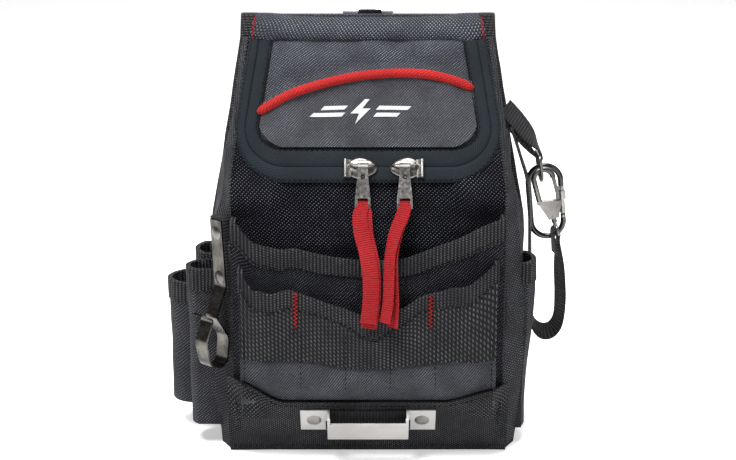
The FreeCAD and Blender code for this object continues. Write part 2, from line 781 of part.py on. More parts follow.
def d_ring():
    """A D-shaped wire ring; its straight bar is at the top, in the fold of its strap."""
    h, corner = RING_HALF, 3.0
    top_l, top_r = Vec(0, -h + corner, 0), Vec(0, h - corner, 0)
    slant = corner * (1 - cos(radians(45)))
    right_mid = Vec(0, h - slant, -slant)
    left_mid = Vec(0, -h + slant, -slant)
    low = -corner - RING_LEG
    edges = [
        Part.LineSegment(Vec(0, 0, 0), top_r).toShape(),
        Part.Arc(top_r, right_mid, Vec(0, h, -corner)).toShape(),
        Part.LineSegment(Vec(0, h, -corner), Vec(0, h, low)).toShape(),
        Part.Arc(Vec(0, h, low), Vec(0, 0, low - h), Vec(0, -h, low)).toShape(),
        Part.LineSegment(Vec(0, -h, low), Vec(0, -h, -corner)).toShape(),
        Part.Arc(Vec(0, -h, -corner), left_mid, top_l).toShape(),
        Part.LineSegment(top_l, Vec(0, 0, 0)).toShape(),
    ]
    shape = round_bar(edges, RING_WIRE, Vec(0, 0, 0), Y)
    return placed(shape, ring_turn(), RING_TOP)


def ring_bottom(y):
    """Centre of the ring's wire where something hangs at that y."""
    off = y - RING_Y
    drop = 3.0 + RING_LEG + sqrt(RING_HALF**2 - off**2)
    point = ring_turn().multVec(Vec(0, off, -drop))
    return RING_TOP + point


def hang_rise(y, wire, gap):
    """How far a wire hooked over the ring at that y has its centre above the ring's wire."""
    steep = asin(abs(y - RING_Y) / RING_HALF)
    return (RING_WIRE + wire) / cos(steep) + gap


def ring_strap():
    """Webbing sewn to the side of the bag and folded round the ring's bar."""
    bore = RING_WIRE + 0.35
    out = bore + STRAP_THICKNESS
    centre = Vec(RING_TOP.x, 0, RING_TOP.z)
    root = Vec(93.5, 0, 232)
    along = (centre - root).normalize()
    across = Vec(-along.z, 0, along.x)
    eye = Part.makeCylinder(out, STRAP_WIDTH, centre - Y * STRAP_WIDTH / 2, Y)
    corners = [root - across * 1.6, root + across * 1.6, centre + across * out, centre - across * out]
    tail = prism([p - Y * STRAP_WIDTH / 2 for p in corners], Y * STRAP_WIDTH)
    hole = Part.makeCylinder(bore, STRAP_WIDTH + 2, centre - Y * (STRAP_WIDTH / 2 + 1), Y)
    shape = eye.fuse(tail).cut(hole).removeSplitter()
    shape.translate(Y * RING_Y)
    return shape.cut(bag_solid(0)).cut(box(-FAR, FAR, -0.05, FAR, 0, FAR))


def carabiner_frame():
    """Origin of the carabiner: the ring's wire centre, under which it hangs."""
    seat = ring_bottom(CARABINER_Y)
    return Vec(seat.x + CARABINER_SHIFT, CARABINER_Y, seat.z)


def on_carabiner(shape):
    """From the carabiner's drawing (hanging at the origin) to its place."""
    return placed(shape, FreeCAD.Rotation(Y, -CARABINER_LEAN), carabiner_frame())


def carabiner_loop():
    """The carabiner's centre line from the gate's lower end round to its upper end, hanging at the origin."""
    h = CARABINER_HALF
    rise = hang_rise(CARABINER_Y, CARABINER_WIRE, 2.5)
    top, bottom = rise, rise - CARABINER_LENGTH + 2 * CARABINER_WIRE
    straight_top, straight_low = top - h, bottom + h
    s = sin(radians(45)) * h
    return h, straight_top, straight_low, s


def gate_span():
    h, straight_top, straight_low, _ = carabiner_loop()
    middle = (straight_top + straight_low) / 2
    return middle - GATE_LENGTH / 2, middle + GATE_LENGTH / 2


def carabiner():
    h, high, low, s = carabiner_loop()
    gate_low, gate_high = gate_span()
    edges = [
        Part.LineSegment(Vec(h, 0, gate_low - 0.4), Vec(h, 0, low)).toShape(),
        Part.Arc(Vec(h, 0, low), Vec(0, 0, low - h), Vec(-h, 0, low)).toShape(),
        Part.LineSegment(Vec(-h, 0, low), Vec(-h, 0, high)).toShape(),
        Part.Arc(Vec(-h, 0, high), Vec(0, 0, high + h), Vec(h, 0, high)).toShape(),
        Part.LineSegment(Vec(h, 0, high), Vec(h, 0, gate_high + 0.4)).toShape(),
    ]
    shape = round_bar(edges, CARABINER_WIRE, Vec(h, 0, gate_low - 0.4), -Z)
    shape = shape.cut(box(h - 9, h + 9, -1.15, 1.15, gate_low - 4.2, gate_low + 1))
    shape = shape.cut(cylinder(0.8, gate_pin_centre() - Y * 5, gate_pin_centre() + Y * 5))
    return on_carabiner(shape)


def gate_pin_centre():
    return Vec(CARABINER_HALF, 0, gate_span()[0] - 1.8)


def carabiner_pin():
    centre = gate_pin_centre()
    return on_carabiner(cylinder(0.8, centre - Y * CARABINER_WIRE, centre + Y * CARABINER_WIRE))


def carabiner_gate():
    """A barrel gate with a lug on the pin at its lower end and a wider collar near the top."""
    h = CARABINER_HALF
    low, high = gate_span()
    barrel = cylinder(GATE_RADIUS - 0.5, Vec(h, 0, low + 0.6), Vec(h, 0, high))
    collar = cylinder(GATE_RADIUS + 0.5, Vec(h, 0, high - 9), Vec(h, 0, high - 3))
    lug = box(h - 1.7, h + 1.7, -0.8, 0.8, low - 3.6, low + 1)
    lug = lug.cut(cylinder(0.85, gate_pin_centre() - Y * 5, gate_pin_centre() + Y * 5))
    return on_carabiner(barrel.fuse(collar).fuse(lug).removeSplitter())


def snap_frame():
    seat = ring_bottom(SNAP_Y)
    return Vec(seat.x + SNAP_SHIFT, SNAP_Y, seat.z)


def on_snap(shape):
    """From the snap hook's drawing (hanging at the origin, z up its length) to its place."""
    return placed(shape, FreeCAD.Rotation(Y, -SNAP_LEAN), snap_frame())


SNAP_TOP = 7.0
SNAP_THROAT = 12.5
SNAP_BODY_TOP = SNAP_TOP - SNAP_HALF - SNAP_THROAT
SNAP_BODY_LOW = SNAP_BODY_TOP - 15.0
SNAP_GATE_TOP = SNAP_TOP - SNAP_HALF + 1.0


def snap_hook():
    """Cast hook: a bent bar over a tapered body that is bored for the swivel's stem."""
    h = SNAP_HALF - SNAP_WIRE
    arc_z = SNAP_TOP - h
    edges = [
        Part.LineSegment(Vec(-h, 0, SNAP_BODY_TOP - 3), Vec(-h, 0, arc_z)).toShape(),
        Part.Arc(Vec(-h, 0, arc_z), Vec(0, 0, arc_z + h), Vec(h, 0, arc_z)).toShape(),
        Part.LineSegment(Vec(h, 0, arc_z), Vec(h, 0, SNAP_GATE_TOP + 0.3)).toShape(),
    ]
    bar = round_bar(edges, SNAP_WIRE, Vec(-h, 0, SNAP_BODY_TOP - 3), Z)
    top, low = SNAP_BODY_TOP, SNAP_BODY_LOW
    outline = [
        Vec(-SNAP_HALF, -2.2, top), Vec(SNAP_HALF, -2.2, top - 3.5),
        Vec(3.6, -2.2, low), Vec(-3.6, -2.2, low),
    ]
    body = prism(outline, Y * 4.4)
    shape = bar.fuse(body)
    slot = box(SNAP_HALF - 6.0, SNAP_HALF + 1, -1.3, 1.3, top - 8.0, top + 2)
    stem = cylinder(1.6, Vec(0, 0, low - 1), Vec(0, 0, low + 5))
    head = cylinder(2.0, Vec(0, 0, low + 2.4), Vec(0, 0, low + 5.2))
    pin_hole = cylinder(0.8, snap_pin_centre() - Y * 5, snap_pin_centre() + Y * 5)
    return on_snap(shape.cut(slot).cut(stem).cut(head).cut(pin_hole))


def snap_pin_centre():
    return Vec(SNAP_HALF - 3.4, 0, SNAP_BODY_TOP - 4.6)


def snap_pin():
    centre = snap_pin_centre()
    return on_snap(cylinder(0.8, centre - Y * 2.2, centre + Y * 2.2))


def snap_gate():
    """The sprung latch: a flat lever from the pin up to the bar's open end, with a thumb rib."""
    pin = snap_pin_centre()
    x = SNAP_HALF - SNAP_WIRE
    top = SNAP_GATE_TOP - 0.2
    outline = [
        Vec(pin.x - 1.6, -0.95, pin.z - 1.6), Vec(pin.x + 1.6, -0.95, pin.z - 1.6),
        Vec(x + 1.4, -0.95, pin.z + 6), Vec(x + 1.4, -0.95, top),
        Vec(x - 1.2, -0.95, top), Vec(x - 1.2, -0.95, pin.z + 6),
    ]
    lever = prism(outline, Y * 1.9)
    rib = box(x + 1.4, x + 2.6, -0.95, 0.95, pin.z + 8.5, pin.z + 11)
    shape = lever.fuse(rib).cut(cylinder(0.85, pin - Y * 5, pin + Y * 5)).removeSplitter()
    return on_snap(shape)


EYE_TOP = SNAP_BODY_LOW - 0.5
EYE_HALF = TAPE_STRAP_WIDTH / 2 + 1.6
EYE_WIRE = 1.1
EYE_DROP = 10.0


def swivel_eye():
    """A headed stem that turns in the hook, over a wide wire eye for the strap."""
    stem = cylinder(1.52, Vec(0, 0, EYE_TOP - 1), Vec(0, 0, SNAP_BODY_LOW + 3.4))
    head = cylinder(1.92, Vec(0, 0, SNAP_BODY_LOW + 2.5), Vec(0, 0, SNAP_BODY_LOW + 4.6))
    z_top, z_low = EYE_TOP - 1.2, EYE_TOP - EYE_DROP
    h = EYE_HALF
    points = [
        Vec(0, 0, z_top), Vec(0, h, z_top - 3.5), Vec(0, h, z_low), Vec(0, 0, z_low),
    ]
    right = rounded_path(points, [3.0, 2.0])
    left_points = [Vec(0, -p.y, p.z) for p in reversed(points)]
    left = rounded_path(left_points, [2.0, 3.0])
    direction = (points[1] - points[0]).normalize()
    right_bar = round_bar(right, EYE_WIRE, points[0], direction)
    left_bar = round_bar(left, EYE_WIRE, left_points[0], -Y)
    neck = cylinder(1.9, Vec(0, 0, z_top - 1.4), Vec(0, 0, EYE_TOP))
    return on_snap(stem.fuse(head).fuse(neck).fuse(right_bar).fuse(left_bar))


def eye_bar():
    """Centre of the eye's lower bar, in the bag's frame."""
    return FreeCAD.Rotation(Y, -SNAP_LEAN).multVec(Vec(0, 0, EYE_TOP - EYE_DROP)) + snap_frame()


def strap_bend():
    """Centre and radius of the tape strap's lower bend."""
    radius = (STRAP_OUT_X - STRAP_IN_X) / 2
    return Vec((STRAP_OUT_X + STRAP_IN_X) / 2, SNAP_Y, STRAP_BEND_Z), radius


def bend_gap():
    """The thin space at the bottom of the bend, between the strap's two runs."""
    centre, _ = strap_bend()
    return box(centre.x - 0.15, centre.x + 0.15, -FAR, FAR, 0, centre.z)


def arc(centre, radius, start, middle, end, y):
    """An arc in the plane at y, by its angles from +X towards +Z."""
    points = [
        Vec(centre.x + radius * cos(radians(a)), y, centre.z + radius * sin(radians(a)))
        for a in (start, middle, end)
    ]
    return Part.Arc(*points).toShape()


def line(start, end):
    return Part.LineSegment(start, end).toShape()


def tape_strap_outer():
    """The strap from its lower bend up to the fold round the swivel's eye."""
    centre, radius = strap_bend()
    bar = eye_bar()
    bore = EYE_WIRE + 0.35
    fold = bore + STRAP_THICKNESS
    y = SNAP_Y - TAPE_STRAP_WIDTH / 2
    outside, inside = radius + STRAP_THICKNESS / 2, radius - STRAP_THICKNESS / 2
    low_out, low_in = Vec(centre.x + outside, y, centre.z), Vec(centre.x + inside, y, centre.z)
    top_out, top_in = Vec(bar.x + fold, y, bar.z), Vec(bar.x - fold, y, bar.z)
    along = (top_out - low_out).normalize()
    inward = Vec(-along.z, 0, along.x)
    run = (top_out - low_out).Length
    sewn = low_out + along * (run - 15) + inward * 2 * STRAP_THICKNESS
    single = low_out + along * (run - 17) + inward * STRAP_THICKNESS
    bend_out, bend_in = Vec(centre.x, y, centre.z - outside), Vec(centre.x, y, centre.z - inside)
    edges = [
        arc(centre, outside, -90, -45, 0, y),
        line(low_out, top_out),
        arc(bar, fold, 0, 90, 180, y),
        line(top_in, sewn),
        line(sewn, single),
        line(single, low_in),
        arc(centre, inside, 0, -45, -90, y),
        line(bend_in, bend_out),
    ]
    body = Part.Face(Part.Wire(edges)).extrude(Y * TAPE_STRAP_WIDTH)
    end = y + TAPE_STRAP_WIDTH + 1
    return body.cut(cylinder(bore, Vec(bar.x, y - 1, bar.z), Vec(bar.x, end, bar.z))).cut(bend_gap())


def tape_strap_inner():
    """The strap from its seam high on the bag's side, down along the bag to the lower bend."""
    centre, radius = strap_bend()
    half = X * (STRAP_THICKNESS / 2)
    y = SNAP_Y - TAPE_STRAP_WIDTH / 2
    outside, inside = radius + STRAP_THICKNESS / 2, radius - STRAP_THICKNESS / 2
    shoulder_x, shoulder_z = STRAP_SHOULDER
    top, low = Vec(100.5, y, STRAP_TOP_Z), Vec(STRAP_IN_X, y, centre.z)
    shoulder = Vec(shoulder_x, y, shoulder_z)
    bend_out, bend_in = Vec(centre.x, y, centre.z - outside), Vec(centre.x, y, centre.z - inside)
    edges = [
        line(top - half, shoulder - half),
        line(shoulder - half, low - half),
        arc(centre, outside, 180, 225, 270, y),
        line(bend_out, bend_in),
        arc(centre, inside, 270, 225, 180, y),
        line(low + half, shoulder + half),
        line(shoulder + half, top + half),
        line(top + half, top - half),
    ]
    strap = Part.Face(Part.Wire(edges)).extrude(Y * TAPE_STRAP_WIDTH)
    return strap.cut(bag_solid(0)).cut(bend_gap())


def build():
    bag = bag_solid(0)
    wall = bag.cut(bag_solid(WALL))
    wall = wall.common(box(-FAR, FAR, -FAR, FAR, BOTTOM_THICKNESS, HINGE_Z))
    cutter = front_cutter()
    sides = wall.cut(cutter)
    opening = on_lid(zip_plate(BODY_OPENING, -12, 12, 20))
    sides = sides.cut(opening)
    parts = {
        "front_panel": wall.common(cutter).cut(opening),
        "gusset_left": sides.common(box(-FAR, 0, -FAR, FAR, 0, FAR)),
        "gusset_right": sides.common(box(0, FAR, -FAR, FAR, 0, FAR)),
        "bottom_panel": bag.common(box(-FAR, FAR, -FAR, FAR, 0, BOTTOM_THICKNESS)),
        "back_panel": back_layer(0, BACK_FABRIC, 0),
        "back_board": back_layer(BACK_FABRIC, BACK_FABRIC + BACK_BOARD, BOARD_MARGIN),
        "back_cover": back_layer(BACK_FABRIC, BACK_THICKNESS, 0).cut(
            back_layer(BACK_FABRIC, BACK_FABRIC + BACK_BOARD, BOARD_MARGIN)
        ),
        "edge_binding_left": edge_binding(-1),
        "edge_binding_right": edge_binding(1),
        "top_band": top_band(),
        "lower_band": lower_band(),
    }
    for name, shape in lid_parts().items():
        parts[name] = on_lid(shape)
    body_tape = zip_ring(COIL_GAP, COIL_GAP + BODY_TAPE_WIDTH, 0.0, TAPE_THICKNESS, -TAPE_TOP_GAP)
    body_coil = zip_ring(COIL_GAP, COIL_GAP + COIL_WIDTH, -COIL_HEIGHT, 0.0, -TAPE_TOP_GAP)
    parts["body_zip_tape"] = on_lid(body_tape)
    parts["body_zip_coil"] = on_lid(body_coil)
    for index, side in enumerate(("left", "right")):
        parts["zip_slider_" + side] = slider(index)
        parts["zip_pull_" + side] = pull(index)
        parts["pull_ribbon_" + side] = ribbon(index)

    rear = pocket_wall(REAR_POCKET, bag)
    rear_block = pocket_block(REAR_POCKET, 0)
    front_back = Part.makeCompound([bag]).fuse(rear_block)
    front = pocket_wall(FRONT_POCKET, front_back)
    parts["rear_pocket"] = rear
    parts["rear_pocket_trim"] = pocket_trim(REAR_POCKET, rear, bag)
    parts["front_pocket"] = front
    parts["front_pocket_trim"] = pocket_trim(FRONT_POCKET, front, front_back)
    parts["front_pocket_webbing"] = pocket_webbing()
    parts["pocket_bartacks"] = bartacks()

    left_pocket = sleeve_wall(LEFT_POCKET, bag)
    left_block = bag.fuse(sleeve_block(LEFT_POCKET, 0, 0))
    rear_sleeve = sleeve_wall(REAR_SLEEVE, left_block)
    front_sleeve = sleeve_wall(FRONT_SLEEVE, bag)
    right_pocket = sleeve_wall(RIGHT_POCKET, bag)
    parts["side_pocket_left"] = left_pocket
    parts["side_pocket_left_trim"] = sleeve_trim(LEFT_POCKET, left_pocket, bag)
    parts["rear_sleeve"] = rear_sleeve
    parts["rear_sleeve_trim"] = sleeve_trim(REAR_SLEEVE, rear_sleeve, left_block)
    parts["front_sleeve"] = front_sleeve
    parts["front_sleeve_trim"] = sleeve_trim(FRONT_SLEEVE, front_sleeve, bag)
    parts["side_pocket_right"] = mirror_x(right_pocket)
    parts["side_pocket_right_trim"] = mirror_x(sleeve_trim(RIGHT_POCKET, right_pocket, bag))

    parts["tape_bracket"] = tape_bracket()
    parts["tape_bracket_rivets"] = bracket_rivets()
    parts["spring_hook"] = spring_hook()
    parts["spring_hook_rivets"] = hook_rivets()
    parts["spring_hook_tab"] = hook_tab().cut(bag).cut(parts["rear_pocket_trim"])
    parts["belt_clip"] = belt_clip()
    parts["belt_clip_rivets"] = belt_rivets()
    parts["belt_clip_webbing"] = clip_webbing()

    parts["ring_strap"] = ring_strap()
    parts["d_ring"] = d_ring()
    parts["carabiner"] = carabiner()
    parts["carabiner_pin"] = carabiner_pin()
    parts["carabiner_gate"] = carabiner_gate()
    parts["snap_hook"] = snap_hook()
    parts["snap_hook_pin"] = snap_pin()
    parts["snap_hook_gate"] = snap_gate()
    parts["swivel_eye"] = swivel_eye()
    parts["tape_strap_inner"] = tape_strap_inner()
    parts["tape_strap_outer"] = tape_strap_outer()
    return parts


os.makedirs("parts", exist_ok=True)
for part_name, part_shape in build().items():
    save(part_name, part_shape)
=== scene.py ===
"""Looks of a zip-top tool pouch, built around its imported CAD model.

Everything is in metres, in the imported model's frame: -Y out of the front, +X to the right, +Z up.
Soft pieces are fine copies of their CAD solids with the sag, billow and creases of sewn cloth, or
strips and cords drawn along a line. Most metal keeps its CAD shape; the sliders get a finer one.
"""

from math import atan2, cos, exp, pi, radians, sin, sqrt

import bmesh
import bpy
from mathutils import Matrix, Vector, noise
from mathutils.bvhtree import BVHTree


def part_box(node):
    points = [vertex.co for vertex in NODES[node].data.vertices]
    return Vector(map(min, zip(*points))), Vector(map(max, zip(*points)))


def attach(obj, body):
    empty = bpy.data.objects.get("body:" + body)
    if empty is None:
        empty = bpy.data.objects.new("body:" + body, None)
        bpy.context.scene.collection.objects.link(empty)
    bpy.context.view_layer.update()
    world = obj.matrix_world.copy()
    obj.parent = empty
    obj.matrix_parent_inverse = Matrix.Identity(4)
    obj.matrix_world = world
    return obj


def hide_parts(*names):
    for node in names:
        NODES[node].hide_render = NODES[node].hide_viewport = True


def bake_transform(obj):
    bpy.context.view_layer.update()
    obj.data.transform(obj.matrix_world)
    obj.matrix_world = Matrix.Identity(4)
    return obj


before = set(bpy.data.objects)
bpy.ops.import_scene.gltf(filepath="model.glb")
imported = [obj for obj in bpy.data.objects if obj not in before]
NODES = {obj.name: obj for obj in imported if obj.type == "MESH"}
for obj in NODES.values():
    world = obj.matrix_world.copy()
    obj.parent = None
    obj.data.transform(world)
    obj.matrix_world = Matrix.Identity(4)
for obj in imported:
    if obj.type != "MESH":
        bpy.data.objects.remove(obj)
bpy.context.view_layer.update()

MM = 0.001

# Camera: a metre from the pouch, in front of it and looking down a little
CAMERA_AIM = Vector((0.0, -0.013, 0.151))
CAMERA_HEIGHT_ANGLE = radians(17)
CAMERA_DISTANCE = 1.0
CAMERA_LENS = 70.9

# The lid's plane: its fold on the back panel and its slope
FOLD = Vector((0.0, 0.024, 0.278))
LID_TILT = atan2(88.0, 58.0)
LID_UP = Vector((0.0, cos(LID_TILT), sin(LID_TILT)))
LID_OUT = Vector((0.0, -sin(LID_TILT), cos(LID_TILT)))

# The zip round the lid: how far down it runs, its half widths, corner radius and start
ZIP_DROP = 0.094
ZIP_TOP_HALF = 0.0745
ZIP_LOW_HALF = 0.0870
ZIP_RADIUS = 0.028
ZIP_START = 0.002
TAPE_THICK = 1.5 * MM
TAPE_BASE = 0.1 * MM
TAPE_SWELL = 0.25
TAPE_DOME = ((0.0, 0.45), (0.08, 0.8), (0.3, 1.0), (0.6, 0.95), (0.85, 0.7), (0.97, 0.35), (1.0, 0.0))

# Where each slider stands at rest, and how many millimetres its plate reaches to either side of that
SLIDER_ACROSS = {"left": -0.0035, "right": 0.0245}
SLIDER_NOSE = 10.0
SLIDER_TAIL = 11.0

# Heights of the front: the fold over the lower band, and the crease under the lid
BAND_TOP = 0.046
CREASE = 0.190

# Each tier of pockets: the height of its mouth's dip and ends, the mouth's half width, and its trim's depth
FRONT_MOUTH = (0.107, 0.142, 0.086)
REAR_MOUTH = (0.147, 0.172, 0.0905)
TRIM = 0.013

# How many millimetres each tier's rim stands above or below that curve, at places across
FRONT_RIM = [
    (-0.086, -3.0), (-0.078, -10.5), (-0.068, -5.5), (-0.050, 6.0), (-0.034, 7.5), (-0.020, 6.0),
    (0.004, -4.0), (0.020, 2.5), (0.036, 9.5), (0.052, 6.0), (0.068, 0.0), (0.086, 0.5),
]
REAR_RIM = [
    (-0.090, -3.0), (-0.076, -11.0), (-0.060, -9.0), (-0.048, -4.5), (-0.010, -5.5), (0.020, -6.5),
    (0.052, -2.0), (0.076, 0.0), (0.090, -1.5),
]

# The front webbing: the heights of its CAD edges, and its spread to the tier's sides
WEBBING = (0.076, 0.096)
WEBBING_SPREAD = 1.07

# The seams between the front tier's compartments, and the bartacks sewn near them
TIER_SEAM = 0.045
BARTACKS = {"left": -0.0482, "right": 0.0415}

# The lid's pocket layer, spread across and down to the seam at the tape
LID_POCKET_SPREAD = 1.075
LID_POCKET_FALL = 1.025

# Where the red piping runs on the lid: across it, and down from its fold
PIPING = [
    (-0.0745, 0.0555), (-0.066, 0.0510), (-0.050, 0.0444), (-0.029, 0.0369), (-0.008, 0.0322),
    (0.012, 0.0303), (0.030, 0.0300), (0.045, 0.0314), (0.060, 0.0344), (0.0715, 0.0378),
]
PIPING_RADIUS = 0.0031

# The white mark on the lid: its size against its outline, its place and its thickness
MARK_SIZE = 1.22
MARK_ACROSS = -0.005
MARK_DROP = 0.0565
MARK_THICK = 0.9 * MM

# The back panel: its front face, its top edge, and its half width at each height
BACK_FACE = 0.032
BACK_TOP = 0.293
BACK_EDGE = [(0.0, 0.107), (0.042, 0.114), (0.150, 0.111), (0.190, 0.103), (0.278, 0.0875), (0.293, 0.0865)]
BINDING_ENDS = (0.140, 0.2935)
TOP_FOLD_HALF = 0.0788

# Ribbons, straps, cord and thread
RIBBON_WIDE = 10.4 * MM
RIBBON_THICK = 0.9 * MM
STRAP_THICK = 1.4 * MM
CORD_SIDES = 10
STITCH_PITCH = 0.0036
STITCH_LENGTH = 0.0026
STITCH_THICK = 0.0007

# How each ribbon hangs: its middle line in millimetres, and the way across it at its top and foot
RIBBON_DRAPES = {
    "left": (
        [(-5.4, -47.0, 171.0), (-4.2, -52.5, 160.0), (-0.6, -59.0, 148.0), (1.6, -64.0, 135.0),
         (1.8, -69.4, 119.0), (0.0, -72.8, 104.5)],
        (0.95, 0.0, 0.10), (0.98, 0.10, -0.34),
    ),
    "right": (
        [(22.6, -47.2, 171.0), (18.0, -53.0, 161.0), (14.6, -60.0, 148.0), (13.8, -65.5, 135.0),
         (13.2, -71.0, 119.0), (11.0, -74.3, 105.5)],
        (0.88, -0.25, 0.10), (0.66, -0.50, 0.30),
    ),
}

SIDES = (("left", -1), ("right", 1))
FORWARD = Vector((0, -1, 0))


# Small helpers


def ease(low, high, value):
    """0 below low, 1 above high, and smooth between."""
    share = max(0.0, min(1.0, (value - low) / (high - low)))
    return share * share * (3 - 2 * share)


def bell(centre, width, value):
    return exp(-(((value - centre) / width) ** 2))


def along_list(stops, value):
    """A smooth value read from (place, amount) stops."""
    if value <= stops[0][0]:
        return stops[0][1]
    for (a, low), (b, high) in zip(stops, stops[1:]):
        if value <= b:
            return low + (high - low) * ease(a, b, value)
    return stops[-1][1]


def on_lid(across, drop, out):
    """A point of the lid's plane: across it, down its slope from the fold, and out of it."""
    return FOLD + Vector((across, 0, 0)) - LID_UP * drop + LID_OUT * out


def lid_place(point):
    """The reverse of on_lid."""
    away = point - FOLD
    return point.x, -away.dot(LID_UP), away.dot(LID_OUT)


# Materials


class Look:
    """A material, with short calls for the shader nodes used here."""

    def __init__(self, name, colour, roughness, metallic=0.0):
        self.material = bpy.data.materials.new(name)
        self.material.use_nodes = True
        self.nodes = self.material.node_tree.nodes
        self.links = self.material.node_tree.links
        self.surface = self.nodes["Principled BSDF"]
        self.set("Base Color", (*colour, 1))
        self.set("Roughness", roughness)
        self.set("Metallic", metallic)

    def set(self, name, value):
        self.feed(self.surface.inputs[name], value)

    def feed(self, socket, value):
        if isinstance(value, bpy.types.NodeSocket):
            self.links.new(value, socket)
        else:
            socket.default_value = value

    def math(self, operation, *values):
        node = self.nodes.new("ShaderNodeMath")
        node.operation = operation
        for socket, value in zip(node.inputs, values):
            self.feed(socket, value)
        return node.outputs[0]

    def mix(self, factor, low, high):
        node = self.nodes.new("ShaderNodeMix")
        node.data_type = "RGBA"
        self.feed(node.inputs[0], factor)
        for socket, value in zip(node.inputs[6:8], (low, high)):
            self.feed(socket, value if isinstance(value, bpy.types.NodeSocket) else (*value, 1))
        return node.outputs[2]

    def spread(self, value, low, high, out_low=0.0, out_high=1.0):
        node = self.nodes.new("ShaderNodeMapRange")
        for socket, given in zip(node.inputs, (value, low, high, out_low, out_high)):
            self.feed(socket, given)
        return node.outputs[0]

    def place(self):
        return self.nodes.new("ShaderNodeTexCoord").outputs["Object"]

    def stretched(self, scale):
        node = self.nodes.new("ShaderNodeMapping")
        self.feed(node.inputs["Vector"], self.place())
        self.feed(node.inputs["Scale"], scale)
        return node.outputs[0]

    def noise(self, scale, detail=2.0, place=None):
        node = self.nodes.new("ShaderNodeTexNoise")
        self.feed(node.inputs["Vector"], place or self.place())
        node.inputs["Scale"].default_value = scale
        node.inputs["Detail"].default_value = detail
        return node.outputs["Fac"]

    def cloth(self):
        """Across and along the cloth, in metres."""
        uv = self.nodes.new("ShaderNodeUVMap")
        uv.uv_map = "cloth"
        split = self.nodes.new("ShaderNodeSeparateXYZ")
        self.feed(split.inputs[0], uv.outputs[0])
        return split.outputs[0], split.outputs[1]

    def wave(self, value, pitch):
        return self.math("SINE", self.math("MULTIPLY", value, 2 * pi / pitch))

    def bump(self, height, distance, strength=1.0):
        node = self.nodes.new("ShaderNodeBump")
        self.feed(node.inputs["Height"], height)
        node.inputs["Distance"].default_value = distance
        node.inputs["Strength"].default_value = strength
        self.set("Normal", node.outputs[0])


def woven(name, ground, thread, across, along, lean=0.0, depth=0.0005, rough=0.6, shine=0.3, crisp=0.3):
    """Cloth of crossing threads: light dots where a thread comes up, on a darker ground; the thread colour of
    the dots is painted sheen on the thread crowns.

    across and along are the pitches of the dots in metres, lean slants their rows, shine is how
    much light the threads mirror, and a high crisp makes the dots smaller.
    """
    look = Look(name, ground, rough)
    u, v = look.cloth()
    wobble = look.spread(look.noise(90.0), 0.0, 1.0, -0.0006, 0.0006)
    u = look.math("ADD", look.math("ADD", u, look.math("MULTIPLY", v, lean)), wobble)
    crossing = look.math("MULTIPLY", look.wave(u, across), look.wave(v, along))
    dots = look.spread(crossing, crisp, 0.9)
    shade = look.noise(55.0, 3.0)
    fleck = look.noise(900.0, 2.0)
    lit = look.math("MULTIPLY", dots, look.spread(fleck, 0.3, 0.7, 0.35, 1.0))
    patch = look.spread(shade, 0.3, 0.7, 0.45, 1.3)
    lit = look.math("MULTIPLY", lit, patch)
    # The dots' thread colour is painted sheen: light off the thread crowns, painted far lighter than the dark
    # yarn of the ground.
    look.set("Base Color", look.mix(lit, ground, thread))
    look.set("Roughness", look.spread(lit, 0.0, 1.0, rough + 0.15, rough - 0.15))
    look.set("Specular IOR Level", shine)
    height = look.math("ADD", look.math("ABSOLUTE", crossing), look.math("MULTIPLY", shade, 0.6))
    look.bump(height, depth)
    return look.material


def ribbed(name, ground, thread, pitch, depth=0.0006, fine=0.0008, upright=False, shine=0.25):
    """Webbing or tape with raised ribs, whose crests are painted lighter than the grooves as painted sheen.
    The ribs cross the strip's length unless upright is set.
    """
    look = Look(name, ground, 0.65)
    u, v = look.cloth()
    if upright:
        u, v = v, u
    rib = look.wave(v, pitch)
    bead = look.wave(look.math("ADD", u, look.math("MULTIPLY", v, 0.5)), fine)
    beads = look.math("MULTIPLY", look.math("ADD", rib, 1.0), look.math("ADD", bead, 1.4))
    # A slow noise makes the painted sheen on the crests uneven.
    uneven_sheen = look.spread(look.noise(60.0, 3.0), 0.3, 0.7, 0.5, 1.1)
    lit = look.math("MULTIPLY", look.spread(beads, 1.0, 4.4), uneven_sheen)
    # The thread colour on the rib crests is painted sheen.
    look.set("Base Color", look.mix(lit, ground, thread))
    look.set("Specular IOR Level", shine)
    look.bump(look.math("ADD", beads, look.math("MULTIPLY", look.noise(120.0), 0.5)), depth, 0.8)
    return look.material


def metal(name, dark, light, rough, scale=60.0, brushed=None):
    """Plated or rolled metal with a mottled tone, uneven polish and fine scratches."""
    look = Look(name, light, rough, 1.0)
    tone = look.noise(scale, 4.0)
    look.set("Base Color", look.mix(look.spread(tone, 0.35, 0.65), dark, light))
    grain = look.noise(500.0, 3.0, look.stretched(brushed) if brushed else None)
    look.set("Roughness", look.spread(grain, 0.3, 0.7, rough * 0.7, rough * 1.4))
    look.bump(grain, 0.00001, 0.3)
    return look.material


def painted(name, colour, rough):
    look = Look(name, colour, rough)
    wear = look.noise(350.0, 4.0)
    grey = tuple(c + 0.06 for c in colour)
    look.set("Base Color", look.mix(look.spread(wear, 0.6, 0.75), colour, grey))
    look.set("Roughness", look.spread(wear, 0.3, 0.7, rough * 0.8, rough * 1.3))
    look.set("Coat Weight", 0.6)
    look.bump(wear, 0.00003, 0.4)
    return look.material
